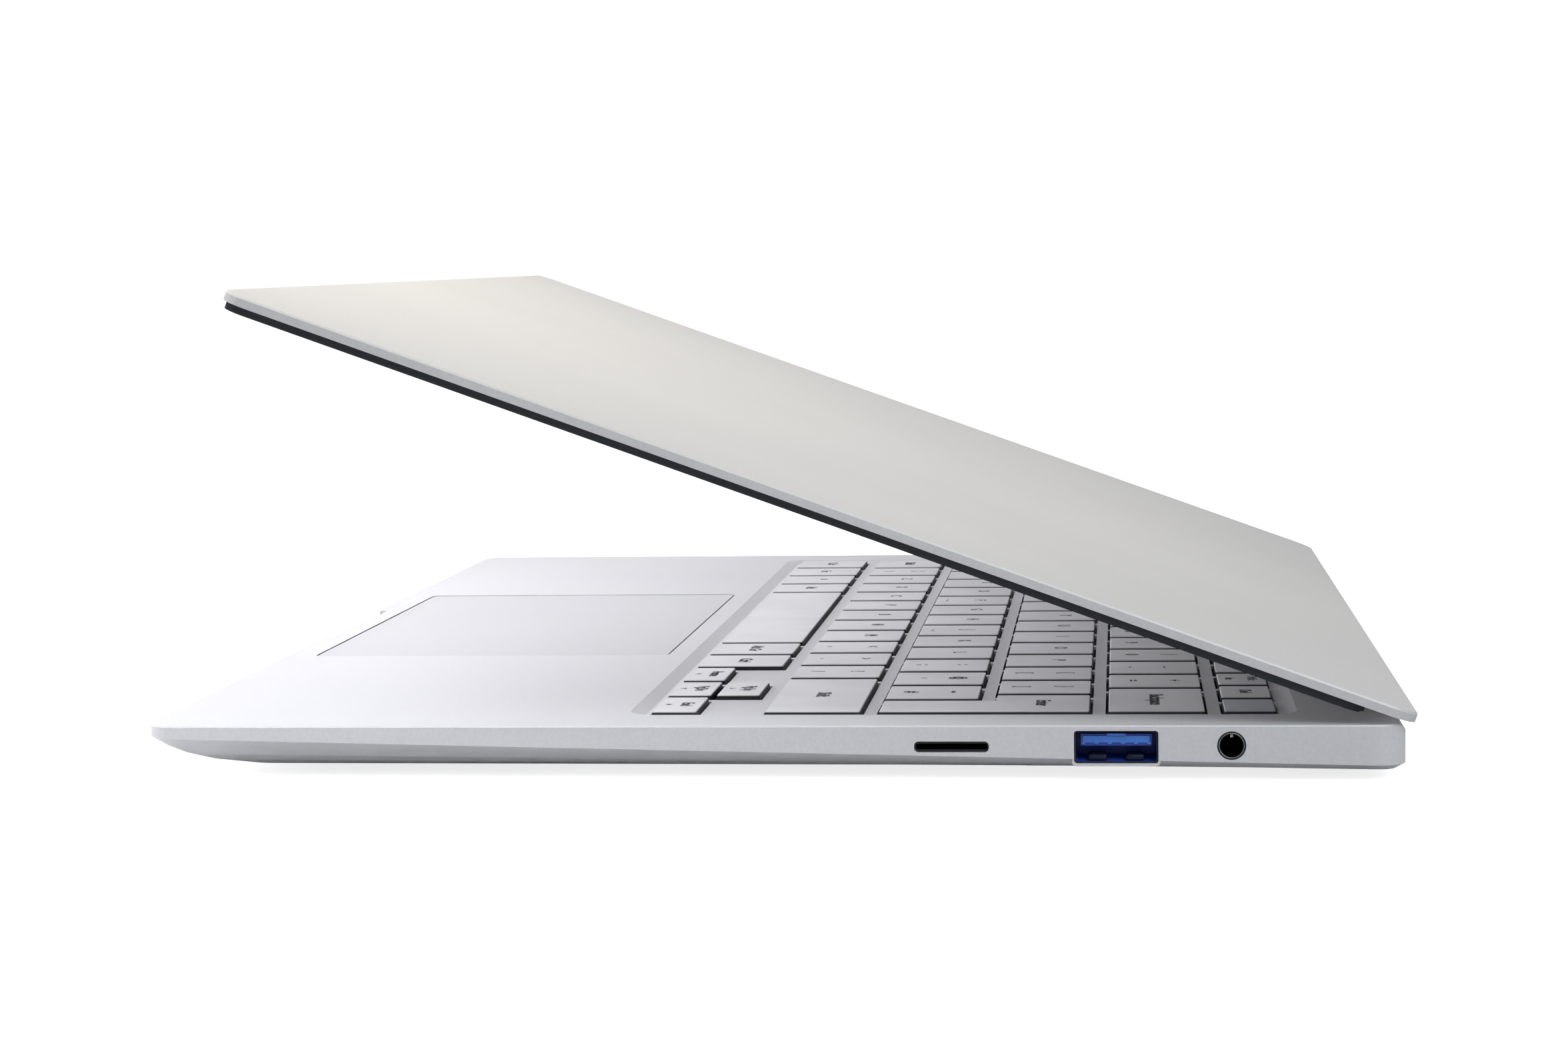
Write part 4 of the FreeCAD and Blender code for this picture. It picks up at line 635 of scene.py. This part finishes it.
# dust mesh behind the intake and the speaker slots
meshValues = {"level": 0.95 * mm, "thick": 0.1 * mm, "edge": 0.03 * mm, "fanHalf": 28 * mm,
              "slotX": (127.2 * mm, 135.8 * mm), "slotY": (-71.5 * mm, -26.5 * mm)}
dustMesh = woven("dustMesh", "#26272a", "#060607")  # fine black woven screen, its holes painted near-black as the shade behind them, drawn coarse enough to show
fanMiddle = (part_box("fan_rotor")[0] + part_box("fan_rotor")[1]) / 2
meshZ = coverZ + meshValues["level"]
meshTop = meshZ + meshValues["thick"]
slotNear, slotFar = meshValues["slotX"]
slotFront, slotBack = meshValues["slotY"]
made = openPiece("bottom_cover.mesh")
addBlock((fanMiddle.x - meshValues["fanHalf"], fanMiddle.y - meshValues["fanHalf"], meshZ),
         (fanMiddle.x + meshValues["fanHalf"], fanMiddle.y + meshValues["fanHalf"], meshTop),
         meshValues["edge"], 1)
addBlock((-slotFar, slotFront, meshZ), (-slotNear, slotBack, meshTop), meshValues["edge"], 1)
copyTo([Vector((-slotFar, 0, 0)), Vector((slotNear, 0, 0))])
closePiece(made, dustMesh, "base")
print("bottom made")

# lid pieces are modelled flat, as with the lid shut, then turned open about the hinge
hinge = [joint for joint in record["behaviour"]["joints"] if joint["name"] == "lid_hinge"][0]
hingeAt = Vector(hinge["pos_m"])
openTurn = (Matrix.Translation(hingeAt) @ Matrix.Rotation(math.radians(hinge["range_deg"][0]), 4, "X")
            @ Matrix.Translation(-hingeAt))
lidValues = {"y": -95.9 * mm, "bezelZ": 9.2 * mm}  # line of the camera on the bezel's face
lensValues = {"radius": 0.95 * mm, "high": 0.3 * mm, "edge": 0.1 * mm}
ringValues = {"radius": 1.3 * mm, "tube": 0.14 * mm, "lift": 0.06 * mm, "flat": 0.7, "around": 40,
              "across": 8}
lampValues = {"x": 5.2 * mm, "radius": 0.45 * mm, "high": 0.12 * mm, "edge": 0.04 * mm}
micValues = {"x": (-24 * mm, 24 * mm), "radius": 0.4 * mm, "high": 0.08 * mm, "edge": 0.02 * mm, "sides": 20}
lensGlass = glassy("lensGlass", "#0a0c14", "#141a2c", coat=1.0)  # coated lens
lampLens = glassy("lampLens", "#8f9499", "#b9bec3")  # small milky lamp
micHoleShade = moulded("micHoleShade", "#020203", "#060607")  # near-black discs for the sound holes: painted shade of the holes
made = openPiece("webcam_module.lens")
addDisc((0, lidValues["y"], lidValues["bezelZ"]), lensValues["radius"], lensValues["high"])
soften(made, lensValues["edge"])
closePiece(made, lensGlass, "lid", openTurn)
made = openPiece("webcam_module.ring")
bpy.ops.mesh.primitive_torus_add(major_radius=ringValues["radius"], minor_radius=ringValues["tube"],
                                 major_segments=ringValues["around"], minor_segments=ringValues["across"],
                                 location=(0, lidValues["y"], lidValues["bezelZ"] + ringValues["lift"]))
bpy.ops.transform.resize(value=(1, 1, ringValues["flat"]))
closePiece(made, materials["dark_plastic"], "lid", openTurn)
made = openPiece("webcam_module.lamp")
addDisc((lampValues["x"], lidValues["y"], lidValues["bezelZ"]), lampValues["radius"], lampValues["high"])
soften(made, lampValues["edge"])
closePiece(made, lampLens, "lid", openTurn)
made = openPiece("display_bezel.microphones")
micSpots = [Vector((x, lidValues["y"], lidValues["bezelZ"])) for x in micValues["x"]]
addDisc(micSpots[0], micValues["radius"], micValues["high"], micValues["sides"])
copyTo(micSpots)
soften(made, micValues["edge"])
closePiece(made, micHoleShade, "lid", openTurn)
print("lid made")

# pale floor, seen white but a little greyer as a reflector
floorValues = {"size": 9.0, "dark": "#f4f4f4", "light": "#f7f7f7", "rough": (0.75, 0.85), "glow": 0.8,
              "bounce": "#c8c8c8"}
bpy.ops.object.select_all(action="DESELECT")
bpy.ops.mesh.primitive_plane_add(size=floorValues["size"], location=(0, 0, 0))
floor = bpy.context.object
floor.name = "floor"
floorMat, place = startMaterial("paleFloor")
values = {"Scale": perMm(40), "Detail": 3.0}
speck = addNode(floorMat, "ShaderNodeTexNoise", values, {"Vector": place}).outputs["Fac"]
values = {"To Min": floorValues["rough"][0], "To Max": floorValues["rough"][1]}
floorRough = addNode(floorMat, "ShaderNodeMapRange", values, {"Value": speck}).outputs[0]
links = {"Base Color": twoTone(floorMat, speck, floorValues["dark"], floorValues["light"]),
         "Roughness": floorRough}
values = {"Emission Color": (1, 1, 1, 1), "Emission Strength": floorValues["glow"]}
seen = addNode(floorMat, "ShaderNodeBsdfPrincipled", values, links).outputs[0]
bounce = addNode(floorMat, "ShaderNodeBsdfDiffuse", {"Color": linear(floorValues["bounce"])}).outputs[0]
sight = addNode(floorMat, "ShaderNodeLightPath").outputs["Is Camera Ray"]
shown = addNode(floorMat, "ShaderNodeMixShader", None, {0: sight, 1: bounce, 2: seen}).outputs[0]
addNode(floorMat, "ShaderNodeOutputMaterial", None, {"Surface": shown})
floor.data.materials.append(floorMat)

# sky: white to look at, softer as a light
skyValues = {"colour": "#f7faff", "level": 0.38, "seen": 1.1}
world = bpy.data.worlds.new("studio")
bpy.context.scene.world = world
world.use_nodes = True
backdrop = world.node_tree.nodes["Background"]
backdrop.inputs["Color"].default_value = linear(skyValues["colour"])
sight = addNode(world, "ShaderNodeLightPath").outputs["Is Camera Ray"]
values = {"To Min": skyValues["level"], "To Max": skyValues["seen"]}
skyStrength = addNode(world, "ShaderNodeMapRange", values, {"Value": sight}).outputs[0]
world.node_tree.links.new(skyStrength, backdrop.inputs["Strength"])

# soft lamps: shine is whether gloss mirrors the lamp, link which pieces it is kept to or kept from
lidPieces = record["behaviour"]["bodies"]["lid"]
lightValues = {
    "overLid": {"at": (0.0, -0.12, 0.34), "to": (0.0, -0.085, 0.07), "size": (0.34, 0.14), "spread": 180,
                "power": 1.25, "colour": "#fff6e6", "shine": False, "link": ("INCLUDE", lidPieces)},
    "overDeck": {"at": (0.02, -0.135, 0.5), "to": (0.02, -0.134, 0.0), "size": (0.44, 0.06), "spread": 57,
                 "power": 0.72, "colour": "#fdfaff", "shine": False, "link": ("EXCLUDE", lidPieces)},
    "front": {"at": (0.0, -0.8, 0.3), "to": (0.0, 0.0, 0.03), "size": (0.3, 0.5), "spread": 180,
              "power": 6.0, "colour": "#fdfaff", "shine": False, "link": None},
    "farSide": {"at": (-0.8, -0.05, 0.22), "to": (0.0, -0.02, 0.02), "size": (0.5, 0.3), "spread": 180,
                "power": 0.18, "colour": "#fbfaff", "shine": True, "link": None},
    "nearSide": {"at": (0.68, 0.6, 0.82), "to": (0.0, 0.0, 0.0), "size": (0.8, 0.8), "spread": 180,
                 "power": 8.0, "colour": "#f6f9ff", "shine": True, "link": None},
}
for name, values in lightValues.items():
    light = bpy.data.lights.new(name, "AREA")
    light.shape = "RECTANGLE"
    light.size, light.size_y = values["size"]
    light.spread = math.radians(values["spread"])
    light.energy = values["power"]
    light.color = linear(values["colour"])[:3]
    lamp = bpy.data.objects.new(name, light)
    bpy.context.scene.collection.objects.link(lamp)
    lamp.location = values["at"]
    lamp.rotation_euler = (Vector(values["to"]) - Vector(values["at"])).to_track_quat("-Z", "Y").to_euler()
    lamp.visible_glossy = values["shine"]
    if values["link"]:
        state, pieces = values["link"]
        linked = bpy.data.collections.new(name + "Link")
        for piece in pieces:
            linked.objects.link(nodes[piece])
        for entry in linked.collection_objects:
            entry.light_linking.link_state = state
        lamp.light_linking.receiver_collection = linked
        lamp.light_linking.blocker_collection = linked  # pieces that a lamp leaves out don't shade it either

# camera at the photograph's place, angles in degrees
cameraPlace = {"at": (0.68635, 0.05482, 0.08285), "yaw": 5.588, "pitch": 4.466, "roll": -0.824, "lens": 79.08,
               "sensor": 36.0, "nearest": 0.01}
yaw, pitch, roll = (math.radians(cameraPlace[key]) for key in ("yaw", "pitch", "roll"))
forward = Vector((-math.cos(yaw) * math.cos(pitch), -math.sin(yaw) * math.cos(pitch), -math.sin(pitch)))
right = Vector((-math.sin(yaw), math.cos(yaw), 0))
up = right.cross(forward)
side = math.cos(roll) * right + math.sin(roll) * up
head = -math.sin(roll) * right + math.cos(roll) * up
camera = bpy.data.objects.new("camera", bpy.data.cameras.new("camera"))
bpy.context.scene.collection.objects.link(camera)
facing = Matrix((side, head, -forward)).transposed().to_4x4()
camera.matrix_world = Matrix.Translation(cameraPlace["at"]) @ facing
camera.data.sensor_width = cameraPlace["sensor"]
camera.data.lens = cameraPlace["lens"]
camera.data.clip_start = cameraPlace["nearest"]
bpy.context.scene.camera = camera
bpy.context.scene.view_settings.view_transform = "Standard"
print("stage set")
